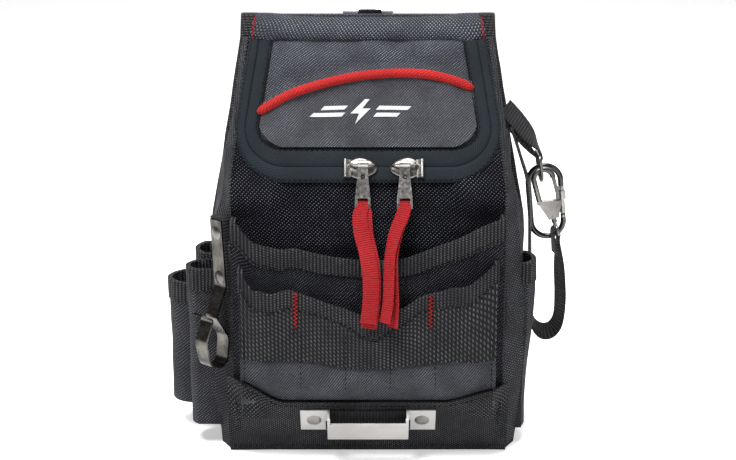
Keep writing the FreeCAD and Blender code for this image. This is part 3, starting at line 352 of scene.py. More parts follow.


# In each woven and ribbed look the second colour is painted sheen on the thread crowns and rib crests,
# lighter than the first, which is the cloth's own colour.
LOOKS = {
    "ballistic": woven(
        "ballistic_weave", (0.016, 0.017, 0.022), (0.25, 0.27, 0.34), 0.0024, 0.0019, 0.25, crisp=0.15
    ),
    "pocket": woven(
        "pocket_weave", (0.004, 0.004, 0.006), (0.17, 0.18, 0.22), 0.0025, 0.0020, 0.3, shine=0.12, crisp=0.4
    ),
    # front_weave is much darker than the lid's cloth: partly the front panel's own duller fabric, partly
    # painted shade from the lid and the ribbons above it.
    "front": woven(
        "front_weave", (0.002, 0.002, 0.003), (0.15, 0.155, 0.20), 0.0028, 0.0023, 0.2, shine=0.06, crisp=0.5
    ),
    "plain": woven("plain_weave", (0.022, 0.023, 0.028), (0.29, 0.30, 0.35), 0.0018, 0.0015, 0.3, crisp=0.1),
    "puckered": woven(
        "puckered_weave", (0.018, 0.019, 0.023), (0.24, 0.255, 0.29), 0.0018, 0.0015, 0.4,
        shine=0.2, crisp=0.1
    ),
    "side_fabric": woven(
        "side_weave", (0.010, 0.010, 0.012), (0.17, 0.175, 0.20), 0.0025, 0.0020, 0.2, shine=0.15, crisp=0.1
    ),
    "webbing": ribbed(
        "knit_webbing", (0.009, 0.009, 0.010), (0.120, 0.120, 0.132), 0.0024, 0.0005, 0.0017, True, 0.12
    ),
    "band": woven("band_webbing", (0.005, 0.005, 0.006), (0.15, 0.15, 0.165), 0.0027, 0.0018, shine=0.12),
    "binding": ribbed("ribbed_binding", (0.006, 0.006, 0.007), (0.12, 0.115, 0.12), 0.0019),
    "strap": ribbed("strap_webbing", (0.005, 0.005, 0.006), (0.085, 0.085, 0.095), 0.0022),
    "zip_tape": woven(
        "zip_tape_twill", (0.006, 0.010, 0.013), (0.034, 0.044, 0.052), 0.0015, 0.0012, 0.6, 0.0002, 0.7, 0.2
    ),
    "zip_coil": ribbed("coil", (0.006, 0.006, 0.007), (0.04, 0.04, 0.045), 0.0016, 0.0008, upright=True),
    "board": painted("stiffener", (0.03, 0.03, 0.032), 0.5),
    "red_cord": woven(
        "red_cover", (0.30, 0.004, 0.004), (0.98, 0.035, 0.028), 0.0021, 0.0017, 0.5, 0.0004, crisp=-0.2
    ),
    "red_ribbon": ribbed(
        "red_grosgrain", (0.30, 0.008, 0.011), (0.62, 0.040, 0.048), 0.0015, 0.0003, shine=0.15
    ),
    "white_thread": ribbed("white_satin_stitch", (0.70, 0.70, 0.72), (0.98, 0.98, 0.98), 0.0010, 0.0003),
    "steel": metal("clip_steel", (0.36, 0.36, 0.36), (0.62, 0.62, 0.61), 0.26, brushed=(1.0, 1.0, 8.0)),
    # Three nickel platings of different brightness. On each slider, the darker hook_nickel of the crown is
    # painted shade and the brighter pull_nickel of the shoulder is a painted highlight, on what is one plated
    # part.
    "nickel": metal("nickel_plate", (0.16, 0.155, 0.145), (0.38, 0.365, 0.34), 0.28, 45.0),
    "pull": metal("pull_nickel", (0.24, 0.235, 0.22), (0.50, 0.485, 0.46), 0.36, 90.0),
    "hook_nickel": metal("hook_nickel", (0.09, 0.086, 0.08), (0.26, 0.25, 0.235), 0.32, 35.0),
    "bracket": metal("bracket_steel", (0.30, 0.29, 0.285), (0.38, 0.37, 0.36), 0.40, 25.0, (8.0, 1.0, 1.0)),
    "gunmetal": metal("gunmetal", (0.030, 0.028, 0.025), (0.13, 0.122, 0.11), 0.24, 90.0),
    "black_metal": painted("black_gloss", (0.006, 0.006, 0.007), 0.22),
    "black_thread": ribbed(
        "black_thread", (0.003, 0.003, 0.003), (0.012, 0.012, 0.014), 0.0012, 0.0002, shine=0.1
    ),
    "red_thread": ribbed("red_thread", (0.45, 0.008, 0.008), (0.80, 0.025, 0.025), 0.0008, 0.0002),
}


def paint(piece, look):
    piece.data.materials.clear()
    piece.data.materials.append(LOOKS[look])


def dress(piece, look):
    paint(piece, look)
    return piece


# Studio


def added(name, data):
    """A new object in the scene that shows a mesh, light or camera."""
    made = bpy.data.objects.new(name, data)
    bpy.context.scene.collection.objects.link(made)
    return made


def camera():
    data = bpy.data.cameras.new("camera")
    data.lens = CAMERA_LENS
    data.sensor_width = 36.0
    made = added("camera", data)
    back = Vector((0, -cos(CAMERA_HEIGHT_ANGLE), sin(CAMERA_HEIGHT_ANGLE)))
    made.location = CAMERA_AIM + back * CAMERA_DISTANCE
    made.rotation_euler = (-back).to_track_quat("-Z", "Y").to_euler()
    bpy.context.scene.camera = made


def softbox(name, place, size, watts, aim=(0, 0, 0.15)):
    data = bpy.data.lights.new(name, "AREA")
    data.shape = "RECTANGLE"
    data.size, data.size_y = size
    data.energy = watts
    made = added(name, data)
    made.location = place
    made.rotation_euler = (Vector(aim) - Vector(place)).to_track_quat("-Z", "Y").to_euler()


def studio():
    scene = bpy.context.scene
    scene.view_settings.view_transform = "Standard"
    world = bpy.data.worlds.new("studio")
    world.use_nodes = True
    world.node_tree.nodes["Background"].inputs["Color"].default_value = (1, 1, 1, 1)
    world.node_tree.nodes["Background"].inputs["Strength"].default_value = 0.14
    scene.world = world
    softbox("key", (-0.45, -0.50, 1.45), (0.5, 0.5), 24.0)
    softbox("fill", (1.15, -1.05, 0.75), (0.7, 0.9), 3.0)
    softbox("top", (0.10, -0.05, 1.55), (0.9, 0.6), 24.0)
    softbox("back", (0.3, 1.3, 0.9), (1.2, 0.8), 9.0)
    profile = [(-3.0, 0.0), (2.2, 0.0), (2.8, 0.16), (3.2, 0.6), (3.35, 1.4), (3.4, 4.0)]
    bm = bmesh.new()
    rows = [[bm.verts.new((x, y, z)) for x in (-4.0, 4.0)] for y, z in profile]
    for (a, b), (c, d) in zip(rows, rows[1:]):
        bm.faces.new((a, b, d, c))
    sweep = mesh_piece("backdrop", bm)
    look = Look("paper", (0.93, 0.93, 0.93), 0.9)
    look.set("Emission Color", (1, 1, 1, 1))
    look.set("Emission Strength", 0.45)
    look.set("Roughness", look.spread(look.noise(30.0), 0.0, 1.0, 0.85, 0.95))
    sweep.data.materials.append(look.material)


# Meshes


def mesh_piece(name, bm, sharp=40.0):
    bmesh.ops.recalc_face_normals(bm, faces=bm.faces)
    mesh = bpy.data.meshes.new(name)
    bm.to_mesh(mesh)
    bm.free()
    mesh.shade_smooth()
    mesh.set_sharp_from_angle(angle=radians(sharp))
    return added(name, mesh)


def flat_cloth(point, normal):
    """Cloth coordinates of a panel that faces mostly along one axis; the sloping top is unrolled."""
    if abs(normal.x) > max(abs(normal.y), abs(normal.z)):
        return point.y, point.z
    rise = point.z if point.z < CREASE else CREASE + (point.z - CREASE) / sin(LID_TILT)
    if abs(normal.z) > 0.9:
        return point.x, point.y
    return point.x, rise


def map_cloth(bm, cloth):
    layer = bm.loops.layers.uv.new("cloth")
    for face in bm.faces:
        for loop in face.loops:
            loop[layer].uv = cloth(loop.vert.co, face.normal)


def cut(bm, place, direction):
    """Divide every face that a plane crosses."""
    everything = bm.verts[:] + bm.edges[:] + bm.faces[:]
    bmesh.ops.bisect_plane(bm, geom=everything, plane_co=place, plane_no=direction, dist=1e-7)


def fine_copy(name, node, look, shape=None, step=4.0, body="pouch", cloth=flat_cloth):
    """A copy of a CAD node, cut into cells step millimetres wide, with each point moved by shape(point)."""
    bm = bmesh.new()
    bm.from_mesh(NODES[node].data)
    bmesh.ops.remove_doubles(bm, verts=bm.verts, dist=1e-6)
    low = Vector([min(v.co[i] for v in bm.verts) for i in range(3)])
    high = Vector([max(v.co[i] for v in bm.verts) for i in range(3)])
    for axis in range(3):
        direction = Vector([float(i == axis) for i in range(3)])
        count = int((high[axis] - low[axis]) / (step * MM))
        for index in range(1, count + 1):
            place = direction * (low[axis] + (high[axis] - low[axis]) * index / (count + 1))
            cut(bm, place, direction)
    bm.normal_update()
    map_cloth(bm, cloth)
    if shape:
        for vert in bm.verts:
            vert.co = shape(vert.co.copy())
    made = mesh_piece(name, bm)
    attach(made, body)
    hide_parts(node)
    return dress(made, look)


def swept(name, sections, look, cloth, body=None, sharp=60.0):
    """A closed piece through sections of equal length; cloth(i, j) gives the cloth coordinates.

    A piece with no body is left unattached.
    """
    bm = bmesh.new()
    layer = bm.loops.layers.uv.new("cloth")
    rings = [[bm.verts.new(place) for place in section] for section in sections]
    count = len(rings[0])
    for i in range(len(rings) - 1):
        for j in range(count):
            k = (j + 1) % count
            face = bm.faces.new((rings[i][j], rings[i][k], rings[i + 1][k], rings[i + 1][j]))
            for loop, (a, b) in zip(face.loops, ((i, j), (i, j + 1), (i + 1, j + 1), (i + 1, j))):
                loop[layer].uv = cloth(a, b)
    bm.faces.new(rings[0])
    bm.faces.new(rings[-1][::-1])
    made = dress(mesh_piece(name, bm, sharp), look)
    if body:
        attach(made, body)
    return made


def curve_value(before, start, end, after, share):
    """A smooth value between start and end, which leans on the values before and after them."""
    slope = end - before
    bend = 2 * before - 5 * start + 4 * end - after
    twist = 3 * start - before - 3 * end + after
    return 0.5 * (2 * start + slope * share + bend * share**2 + twist * share**3)


def smooth_line(points, parts):
    """Points of a smooth curve through the given rows of numbers, with parts steps from row to row."""
    rows = [tuple(p) for p in points]
    ends = [rows[0]] + rows + [rows[-1]]
    line = []
    for four in zip(ends, ends[1:], ends[2:], ends[3:]):
        for part in range(parts):
            line.append(tuple(curve_value(*values, part / parts) for values in zip(*four)))
    line.append(rows[-1])
    return line


def ahead_at(line, i):
    """The way a line runs at one of its points."""
    return (line[min(i + 1, len(line) - 1)] - line[max(i - 1, 0)]).normalized()


def lengths_along(line):
    """The length of a line up to each of its points."""
    lengths, run = [], 0.0
    for i, place in enumerate(line):
        run += (place - line[max(i - 1, 0)]).length
        lengths.append(run)
    return lengths


def strip(name, rows, width, thickness, body, look, parts=6):
    """Ribbon or webbing along a line.

    Each row is x, y, z, then the way across, whose length scales the width.
    """
    line = smooth_line(rows, parts)
    centres = [Vector(row[:3]) for row in line]
    outline = [(-0.5, -0.25), (-0.5, 0.25), (-0.46, 0.5), (-0.2, 0.5), (0.2, 0.5), (0.46, 0.5)]
    outline += [(-a, -b) for a, b in outline]
    count = len(outline)
    sections = []
    for i, (centre, row) in enumerate(zip(centres, line)):
        side = Vector(row[3:6])
        ahead = ahead_at(centres, i)
        out = side.cross(ahead).normalized()
        side = ahead.cross(out).normalized() * side.length
        sections.append([centre + side * a * width + out * b * thickness for a, b in outline])
    lengths = lengths_along(centres)
    return swept(name, sections, look, lambda i, j: (outline[j % count][0] * width, lengths[i]), body)


def cord_piece(name, points, radius, body, look, parts=1, taper=0.0):
    """A round cord along a line, as a mesh tube; parts smooths the line and taper narrows its two ends."""
    line = [Vector(p) for p in smooth_line(points, parts)]
    sections = []
    for i, centre in enumerate(line):
        ahead = ahead_at(line, i)
        side = ahead.cross(Vector((0, 0, 1)) if abs(ahead.z) < 0.9 else Vector((1, 0, 0))).normalized()
        up = side.cross(ahead)
        near_end = min(i, len(line) - 1 - i) / max(1, len(line) - 1)
        size = radius * (1 - taper * (1 - ease(0.0, 0.05, near_end)))
        turns = [2 * pi * j / CORD_SIDES for j in range(CORD_SIDES)]
        sections.append([centre + (side * cos(a) + up * sin(a)) * size for a in turns])
    lengths = lengths_along(line)
    return swept(name, sections, look, lambda i, j: (j * 2 * pi * radius / CORD_SIDES, lengths[i]), body)


def stitches(name, line, out=FORWARD, body="pouch"):
    """A row of black thread stitches along a line, each a small bead; out is the way the surface faces."""
    bm = bmesh.new()
    bm.loops.layers.uv.new("cloth")
    normal = out.normalized()
    size = Matrix.Diagonal((STITCH_THICK, STITCH_LENGTH, STITCH_THICK, 1))
    run, due = 0.0, STITCH_PITCH / 2
    for a, b in zip(line, line[1:]):
        span = (b - a).length
        if span < 1e-7:
            continue
        ahead = (b - a).normalized()
        side = normal.cross(ahead).normalized()
        turn = Matrix((side, ahead, normal)).transposed().to_4x4()
        while run + span >= due:
            move = Matrix.Translation(a + ahead * (due - run))
            bmesh.ops.create_icosphere(bm, subdivisions=1, radius=0.5, matrix=move @ turn @ size)
            due += STITCH_PITCH
        run += span
    made = mesh_piece(name, bm, 180.0)
    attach(made, body)
    dress(made, "black_thread")


# The zip's line round the lid


def zip_line(side, low, steps=14):
    """Points across and down the lid along the zip, moved out by side at its sides and low at its foot."""
    slant = (ZIP_LOW_HALF - ZIP_TOP_HALF) / ZIP_DROP
    lean = atan2(slant, 1.0)
    corner = ZIP_TOP_HALF + slant * (ZIP_DROP - ZIP_RADIUS) - ZIP_RADIUS / cos(lean)
    middle = Vector((corner, ZIP_DROP - ZIP_RADIUS))
    half = []
    for i in range(steps):
        drop = ZIP_START + (middle.y - ZIP_RADIUS * sin(lean) - ZIP_START) * i / steps
        half.append((Vector((ZIP_TOP_HALF + slant * drop, drop)), Vector((cos(lean), -sin(lean)))))
    for i in range(steps + 1):
        turn = -lean + (pi / 2 + lean) * i / steps
        away = Vector((cos(turn), sin(turn)))
        half.append((middle + away * ZIP_RADIUS, away))
    for i in range(1, steps + 1):
        half.append((Vector((middle.x * (1 - i / steps), ZIP_DROP)), Vector((0, 1))))
    moved = [place + away * (side + (low - side) * away.y * abs(away.y)) for place, away in half]
    return moved + [Vector((-p.x, p.y)) for p in reversed(moved[:-1])]


def tape_profile(near, side, low):
    """A folded tape's section, flat underneath and gently domed on top, from the zip to its far edge.

    Each row is how far it lies from the zip at its sides, how far at its foot, and its height.
    """
    rows = [(near, near, TAPE_BASE)]
    for share, rise in TAPE_DOME:
        height = TAPE_BASE + TAPE_THICK * rise
        rows.append((near + (side - near) * share, near + (low - near) * share, height))
    rows.append((side, low, TAPE_BASE))
    return rows


def zip_tape(name, profile, body, node):
    """One of the two tapes along the zip, a little uneven in thickness."""
    lines = [zip_line(side, low) for side, low, _ in profile]
    count = len(profile)
    sections = []
    for i in range(len(lines[0])):
        swell = 1 + TAPE_SWELL * noise.noise(Vector((i * 0.23, 0.5, 0)))
        sections.append([on_lid(line[i].x, line[i].y, row[2] * swell) for line, row in zip(lines, profile)])
    lengths = lengths_along(lines[0])
    made = swept(name, sections, "zip_tape", lambda i, j: (profile[j % count][0], lengths[i]), body, 50.0)
    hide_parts(node)


def zip_tapes():
    """Both tapes, the seam inside the lid's, and a row of stitches on each."""
    zip_tape("lid_tape", tape_profile(-0.12 * MM, -9.0 * MM, -13.0 * MM), "lid", "lid_zip_tape")
    zip_tape("bag_tape", tape_profile(0.12 * MM, 7.0 * MM, 11.0 * MM), "pouch", "body_zip_tape")
    seam = [on_lid(p.x, p.y, 1.5 * MM) for p in zip_line(-9.3 * MM, -13.3 * MM)]
    cord_piece("lid_seam", seam, 0.45 * MM, "lid", "black_thread")
    rows = (("lid_tape_stitch", -7.6, -11.6, "lid"), ("bag_tape_stitch", 5.4, 9.4, "pouch"))
    for name, side, low, body in rows:
        line = [on_lid(p.x, p.y, 1.35 * MM) for p in zip_line(side * MM, low * MM)]
        stitches(name, line, LID_OUT, body)


# How the cloth hangs: places are in metres, and amounts in millimetres until MM is applied


def crumple(point, size, seed=0.0):
    """Smooth noise between -1 and 1 with creases about size apart."""
    return noise.noise((point + Vector((seed, seed * 0.7, seed * 1.3))) / size)


def crease(point, size, seed=0.0):
    """Sharp ridges about size apart: 1 on a ridge, and below 0 in the hollows."""
    return 1 - 3.2 * abs(crumple(point, size, seed))


def mouth_height(mouth, across):
    """Height of a pocket's curved top edge before its cloth sags."""
    dip, end, half = mouth
    radius = (half**2 + (end - dip) ** 2) / (2 * (end - dip))
    return dip + radius - sqrt(radius**2 - min(abs(across), half) ** 2)


def pull_path(across):
    """1 where the sliders carry their pulls and ribbons to and fro, and 0 further out."""
    return 1 - ease(0.051, 0.068, abs(across))


def corner_rise(across):
    """How far the lower band's top edge climbs at its two ends."""
    return 0.015 * ease(0.055, 0.090, -across) + 0.009 * ease(0.050, 0.090, across)


def trim_foot(mouth, rim, across):
    """Height of the lower edge of a pocket's webbing trim."""
    return mouth_height(mouth, across) - TRIM + along_list(rim, across) * MM


def front_tier(point):
    """The lower row of pockets: an uneven rim, three compartments that billow, and a puckered foot."""
    rise = ease(0.085, 0.128, point.z)
    lift = along_list(FRONT_RIM, point.x) * MM * rise
    cell = abs(sin(pi * (point.x + TIER_SEAM) / (2 * TIER_SEAM)))
    sides = 1 - ease(0.070, 0.084, abs(point.x))
    billow = 4.2 * sqrt(cell) * ease(0.055, 0.105, point.z) * sides
    loop = abs(sin(pi * point.x / 0.030))
    belly = 1.5 * sqrt(loop) * bell(0.075, 0.012, point.z) * sides
    puff = 6.5 * bell(0.061, 0.011, point.z) * (0.75 + 0.45 * crumple(point, 0.020, 3.0)) * sides
    puff *= (0.70 + 0.30 * sqrt(loop)) * (1 - corner_rise(point.x) / 0.018)
    creases = 2.0 * crease(point, 0.030, 5.0) * bell(0.062, 0.012, point.z) * sides
    folds = 1.0 * crumple(Vector((point.x, 0, point.z * 0.35)), 0.012, 7.0) * bell(0.075, 0.030, point.z)
    wave = 1.6 * crumple(Vector((point.x, 0, point.z * 0.6)), 0.034, 17.0) * rise * sides
    out = billow + belly + puff + creases + folds + wave
    out *= 1 - 0.45 * pull_path(point.x) * ease(0.088, 0.100, point.z)
    foot = BAND_TOP + corner_rise(point.x)
    out *= ease(foot - 0.002, foot + 0.008, point.z)
    return point + Vector((0, -out * MM, lift))


def webbing_shape(point):
    """The ribbed webbing, spread over the tier's full width and up to the trim above it."""
    low, high = WEBBING
    across = point.x * WEBBING_SPREAD
    share = (point.z - low) / (high - low)
    foot = low + 2.2 * MM * crumple(Vector((across, 0, 0)), 0.040, 27.0) - 0.005 * bell(0.0, 0.030, across)
    height = foot + (trim_foot(FRONT_MOUTH, FRONT_RIM, across) + 0.002 - foot) * share
    flat = Vector((across, point.y + (height - point.z) * 0.035, height))
    moved = front_tier(flat)
    return Vector((across, moved.y - 0.0004, height))


def rear_tier(point):
    """The upper row of pockets: an uneven rim and loose creases, held back behind the pulls."""
    rise = ease(0.115, 0.150, point.z)
    lift = along_list(REAR_RIM, point.x) * MM * rise
    sides = 1 - ease(0.070, 0.088, abs(point.x))
    out = 2.2 * crumple(point, 0.036, 11.0) + 1.0 * crease(point, 0.050, 12.0)
    out *= 1 - 0.7 * pull_path(point.x)
    return point + Vector((0, -out * MM * ease(0.11, 0.15, point.z) * sides, lift))


def bag(point):
    """Folds of the main panels; still at the zip, the base and the back."""
    across, drop, _ = lid_place(point)
    from_zip = 1 - ease(0.0, 0.014, ZIP_DROP + 0.014 - drop) if abs(across) < 0.090 else 1.0
    free = ease(0.0, 0.03, point.z) * ease(0.0, 0.025, 0.030 - point.y) * from_zip
    away = ease(0.088, 0.100, abs(point.x))
    front = 1 - away
    bulge = 6.0 * bell(0.180, 0.009, point.z) * front
    hang = 3.2 * crease(Vector((point.x * 0.5, 0, point.z)), 0.040, 2.0) * ease(0.130, 0.150, point.z)
    waves = 2.6 * crumple(Vector((point.x, 0, point.z * 0.45)), 0.030, 2.0)
    dents = 1.5 * crumple(point, 0.045, 9.0)
    pulls = pull_path(point.x) * ease(0.130, 0.146, point.z)
    outward = 1 if point.x > 0 else -1
    seam = 5.5 * ease(0.150, 0.210, point.z) * ease(0.008, 0.030, point.y) * away
    forward = (bulge + (hang + waves + dents) * front) * (1 - pulls) + (0.7 * waves - 2.2) * pulls
    move = Vector((0, -1, 0)) * forward
    side = Vector((outward, 0, 0)) * away * 1.6 * (dents + crease(point, 0.055, 6.0))
    return point + (move + side) * free * MM - Vector((outward * seam * MM, 0, 0))


def lid_rise(across, drop):
    """How far the padded lid stands out at a place on it; nothing where it is sewn to its tape."""
    place = Vector((across, drop, 0))
    inner = 1 - ease(0.050, 0.074, abs(across))
    middle = ease(0.0, 0.020, drop) * (1 - ease(0.056, 0.081, drop)) * inner
    loose = ease(0.0, 0.008, drop) * (1 - ease(0.066, 0.081, drop)) * (1 - ease(0.060, 0.074, abs(across)))
    folds = 1.3 * crumple(place, 0.026, 21.0) + 1.5 * crease(place, 0.050, 5.0)
    piping = along_list(PIPING, across)
    hollow = -1.8 * bell(piping - 0.011, 0.006, drop) * inner
    mouth = 2.2 * bell(piping, 0.008, drop) * inner
    return (3.4 * middle + folds * loose + hollow + mouth) * MM


def lid_shape(point):
    across, drop, _ = lid_place(point)
    return point + LID_OUT * lid_rise(across, drop)


def lid_pocket_shape(point):
    """The pocket layer, spread out to the seam at the tape."""
    across, drop, out = lid_place(point)
    across *= LID_POCKET_SPREAD
    drop = ZIP_DROP / 2 + (drop - ZIP_DROP / 2) * LID_POCKET_FALL
    return on_lid(across, drop, out + lid_rise(across, drop))


def sleeve_shape(point):
    out = 1.4 * crumple(point, 0.022, 31.0) + 0.8 * crease(point, 0.040, 33.0)
    return point + Vector((-out * MM * 0.6, 0, 0.5 * out * MM))


def foot_shape(point):
    """The lower band: dented a little, with a top edge that climbs at its ends."""
    out = 0.8 * crumple(point, 0.030, 51.0) * (1 - bell(0.0, 0.060, point.x))
    share = ease(0.030, BAND_TOP, point.z)
    lift = corner_rise(point.x) * share
    back = 14.0 * ease(0.0835, 0.0955, abs(point.x)) * ease(0.004, BAND_TOP, point.z)
    return point + Vector((0, (back - out) * MM - 0.16 * lift, lift))


def side_shape(point):
    """The side pockets; the right one lies closer to the bag towards its foot."""
    away = ease(0.098, 0.106, abs(point.x))
    out = 1.0 * crumple(point, 0.030, 41.0) * away
    if point.x > 0:
        out -= 4.5 * ease(0.106, 0.113, point.x) * (1 - ease(0.02, 0.12, point.z))
    return point + Vector((out * MM * (1 if point.x > 0 else -1), 0, 0))


def clip_webbing_shape(point):
    """The webbing under the belt clip, gathered between the clip's two prongs at the top."""
    narrow = 1 - 0.58 * ease(0.286, 0.2925, point.z)
    return Vector((point.x * narrow, point.y, point.z))


def lid_cloth(point, _):
    """Cloth coordinates of the lid's pieces."""
    across, drop, _ = lid_place(point)
    return across, -drop


def soft_pieces():
    fine_copy("bag_front", "front_panel", "front", bag)
    fine_copy("bag_side_left", "gusset_left", "side_fabric", bag)
    fine_copy("bag_side_right", "gusset_right", "side_fabric", bag)
    fine_copy("bag_bottom", "bottom_panel", "webbing", step=8.0)
    fine_copy("back_lining", "back_panel", "ballistic", step=6.0)
    fine_copy("back_outside", "back_cover", "side_fabric", step=6.0)
    fine_copy("foot_band", "lower_band", "band", foot_shape)
    lid = fine_copy("lid_cloth", "lid_panel", "ballistic", lid_shape, 4.0, "lid", lid_cloth)
    fine_copy("lid_coil", "lid_zip_coil", "zip_coil", None, 3.0, "lid", lid_cloth)
    fine_copy("lid_pocket_cloth", "lid_pocket", "plain", lid_pocket_shape, 3.0, "lid", lid_cloth)
    fine_copy("bag_coil", "body_zip_coil", "zip_coil", None, 3.0, "pouch", lid_cloth)
    fine_copy("pockets_rear", "rear_pocket", "pocket", rear_tier)
    fine_copy("pockets_rear_edge", "rear_pocket_trim", "webbing", rear_tier)
    fine_copy("pockets_front", "front_pocket", "puckered", front_tier, 3.0)
    fine_copy("pockets_front_edge", "front_pocket_trim", "webbing", front_tier, 3.0)
    fine_copy("pockets_webbing", "front_pocket_webbing", "webbing", webbing_shape, 3.0)
    for name in ("side_pocket_left", "side_pocket_right", "rear_sleeve", "front_sleeve"):
        shape = sleeve_shape if "sleeve" in name else side_shape
        fine_copy(name + "_cloth", name, "side_fabric", shape)
        fine_copy(name + "_edge", name + "_trim", "webbing", shape)
    fine_copy("hook_tab", "spring_hook_tab", "strap")
    fine_copy("clip_webbing", "belt_clip_webbing", "strap", clip_webbing_shape)


def half_back(height):
    """The back panel's half width at a height, with straight runs between its corners."""
    for (low, half), (high, next_half) in zip(BACK_EDGE, BACK_EDGE[1:]):
        if height <= high:
            return half + (next_half - half) * (height - low) / (high - low)
    return BACK_EDGE[-1][1]


def bindings():
    """Ribbed webbing folded round the back panel's two long edges, wide at the top and narrow lower down."""
    section = [
        (1.0, 5.9), (1.3, 3.0), (1.3, 0.6), (0.9, -0.9), (0.0, -1.5), (-0.5, -1.6), (-0.96, -1.5),
        (-1.0, -0.6), (-0.5, -0.4), (0.0, -0.3), (0.2, 0.6), (0.2, 4.2), (0.0, 5.2), (-0.5, 5.3),
        (-1.0, 5.3), (-1.0, 6.2), (-0.5, 6.4), (0.0, 6.4),
    ]
    low, high = BINDING_ENDS
    for side, sign in SIDES:
        sections = []
        for i in range(41):
            height = low + (high - low) * i / 40
            width = 3.0 + 6.4 * ease(0.150, 0.262, height)
            wave = 0.5 * crumple(Vector((0, 0, height)), 0.020, sign)
            ring = []
            for out, depth in section:
                across = half_back(height) + (out * (1.0 if out > 0 else width) + wave) * MM
                ring.append(Vector((sign * across, BACK_FACE + depth * MM, height)))
            sections.append(ring)
        made = swept("binding_" + side, sections, "binding", lambda i, j: (j * 0.0012, i * 0.00384), "pouch")
        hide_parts("edge_binding_" + side)


def top_fold():
    """The fabric rolled over the back panel's top edge and down to the lid's fold."""
    profile = [
        (5.2, -6.0), (5.7, -1.5), (4.6, 0.7), (2.0, 1.2), (-0.8, 0.5), (-3.4, -1.8), (-6.0, -5.2),
        (-8.4, -9.4), (-9.6, -13.6), (-8.6, -15.6), (-6.6, -11.5), (-4.2, -6.5), (-1.6, -2.4),
        (1.0, -0.8), (3.6, -0.9), (4.4, -6.0),
    ]
    count = 56
    sections = []
    for i in range(count + 1):
        share = i / count
        span = -1 + 2 * share
        end = min(share, 1 - share)
        full = 0.45 + 0.55 * ease(0.0, 0.07, end)
        sag = -2.2 * ease(0.0, 0.30, end)
        section = []
        for back, up in profile:
            front = ease(0.0, 8.0, -back)
            across = span * (TOP_FOLD_HALF + 0.0045 * ease(2.0, 14.0, -up))
            place = Vector((across, back * MM, up * MM))
            folds = 1.1 * crumple(place, 0.016, 61.0)
            folds += 0.8 * crease(Vector((across, 0, up * 0.004)), 0.030, 62.0)
            swell = 1 + 0.25 * bell(-6.5, 4.0, up)
            depth = (back * swell if back < 0 else back) * full
            droop = -5.0 * (1 - ease(0.02, 0.16, end)) * ease(5.0, 13.0, -up) * front
            height = up * (0.9 + 0.1 * full) + sag + droop
            point = Vector((across, BACK_FACE + depth * MM, BACK_TOP + height * MM))
            section.append(point + Vector((0, -folds, 0.4 * folds)) * MM * front * ease(0.0, 0.05, end))
        sections.append(section)
    made = swept("top_fold", sections, "ballistic", lambda i, j: (i * 0.0028, j * 0.0032))
    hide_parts("top_band")
    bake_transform(made)


def edge_stitches():
    """Red zigzag thread down both ends of the top fold, where the bindings are sewn to it."""
    for side, sign in SIDES:
        tree = surface(["top_fold", "binding_" + side])
        places = []
        for i in range(15):
            height = 0.2915 - 0.0225 * i / 14
            zigzag = 0.7 if i % 2 else -0.7
            across = half_back(height) - (8.4 - 1.2 * i / 14 + zigzag) * MM
            places.append((sign * across, height))
        route = on_front(tree, places, 0.3)
        cord_piece("binding_seam_" + side, route, 0.35 * MM, "pouch", "red_thread")


def lid_cord():
    """The red piping round the mouth of the lid's pocket, sewn flat at its two ends."""
    route = []
    for i, (across, drop) in enumerate(PIPING):
        at_end = i in (0, len(PIPING) - 1)
        out = lid_rise(across, drop) + (1.2 * MM if at_end else PIPING_RADIUS * 0.9)
        route.append(on_lid(across, drop, out))
    made = cord_piece("lid_cord", route, PIPING_RADIUS, "lid", "red_cord", 8, 0.45)
    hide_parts("lid_piping")


def bolt_outlines():
    """A plain lightning bolt between two pairs of bars, across and up in millimetres."""
    bolt = [(2.5, 7.0), (-5.5, -1.2), (-0.8, -1.2), (-3.0, -7.0), (5.5, 1.6), (0.9, 1.6), (5.0, 7.0)]
    outlines = [bolt]
    for sign in (-1, 1):
        for level, near, far in ((2.0, 9.5, 27.0), (-2.0, 8.0, 21.0)):
            top, foot = level + 1.1, level - 1.1
            corners = [(near + 1.0, top), (far + 1.0, top), (far - 1.0, foot), (near - 1.0, foot)]
            outlines.append([(sign * x, sign * y) for x, y in corners])
    return outlines


def lid_mark():
    """White satin stitching on the lid: slabs that follow the padded cloth."""
    bm = bmesh.new()
    for outline in bolt_outlines():
        loop = [bm.verts.new((x * MARK_SIZE * MM, y * MARK_SIZE * MM, 0)) for x, y in outline]
        face = bm.faces.new(loop)
        grown = bmesh.ops.extrude_face_region(bm, geom=[face])["geom"]
        for vert in grown:
            if isinstance(vert, bmesh.types.BMVert):
                vert.co.z += MARK_THICK
    for i in range(-18, 19):
        cut(bm, (i * 2 * MM, 0, 0), (1, 0, 0))
    bmesh.ops.triangulate(bm, faces=[f for f in bm.faces if len(f.verts) > 4])
    bm.normal_update()
    map_cloth(bm, lambda point, normal: (point.y, point.x + point.y * 0.4))
    for vert in bm.verts:
        across = MARK_ACROSS + vert.co.x
        drop = MARK_DROP - vert.co.y
        vert.co = on_lid(across, drop, 1.3 * MM + vert.co.z + lid_rise(across, drop))
    made = mesh_piece("lid_mark", bm)
    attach(made, "lid")
    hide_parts("lid_badge")
    dress(made, "white_thread")


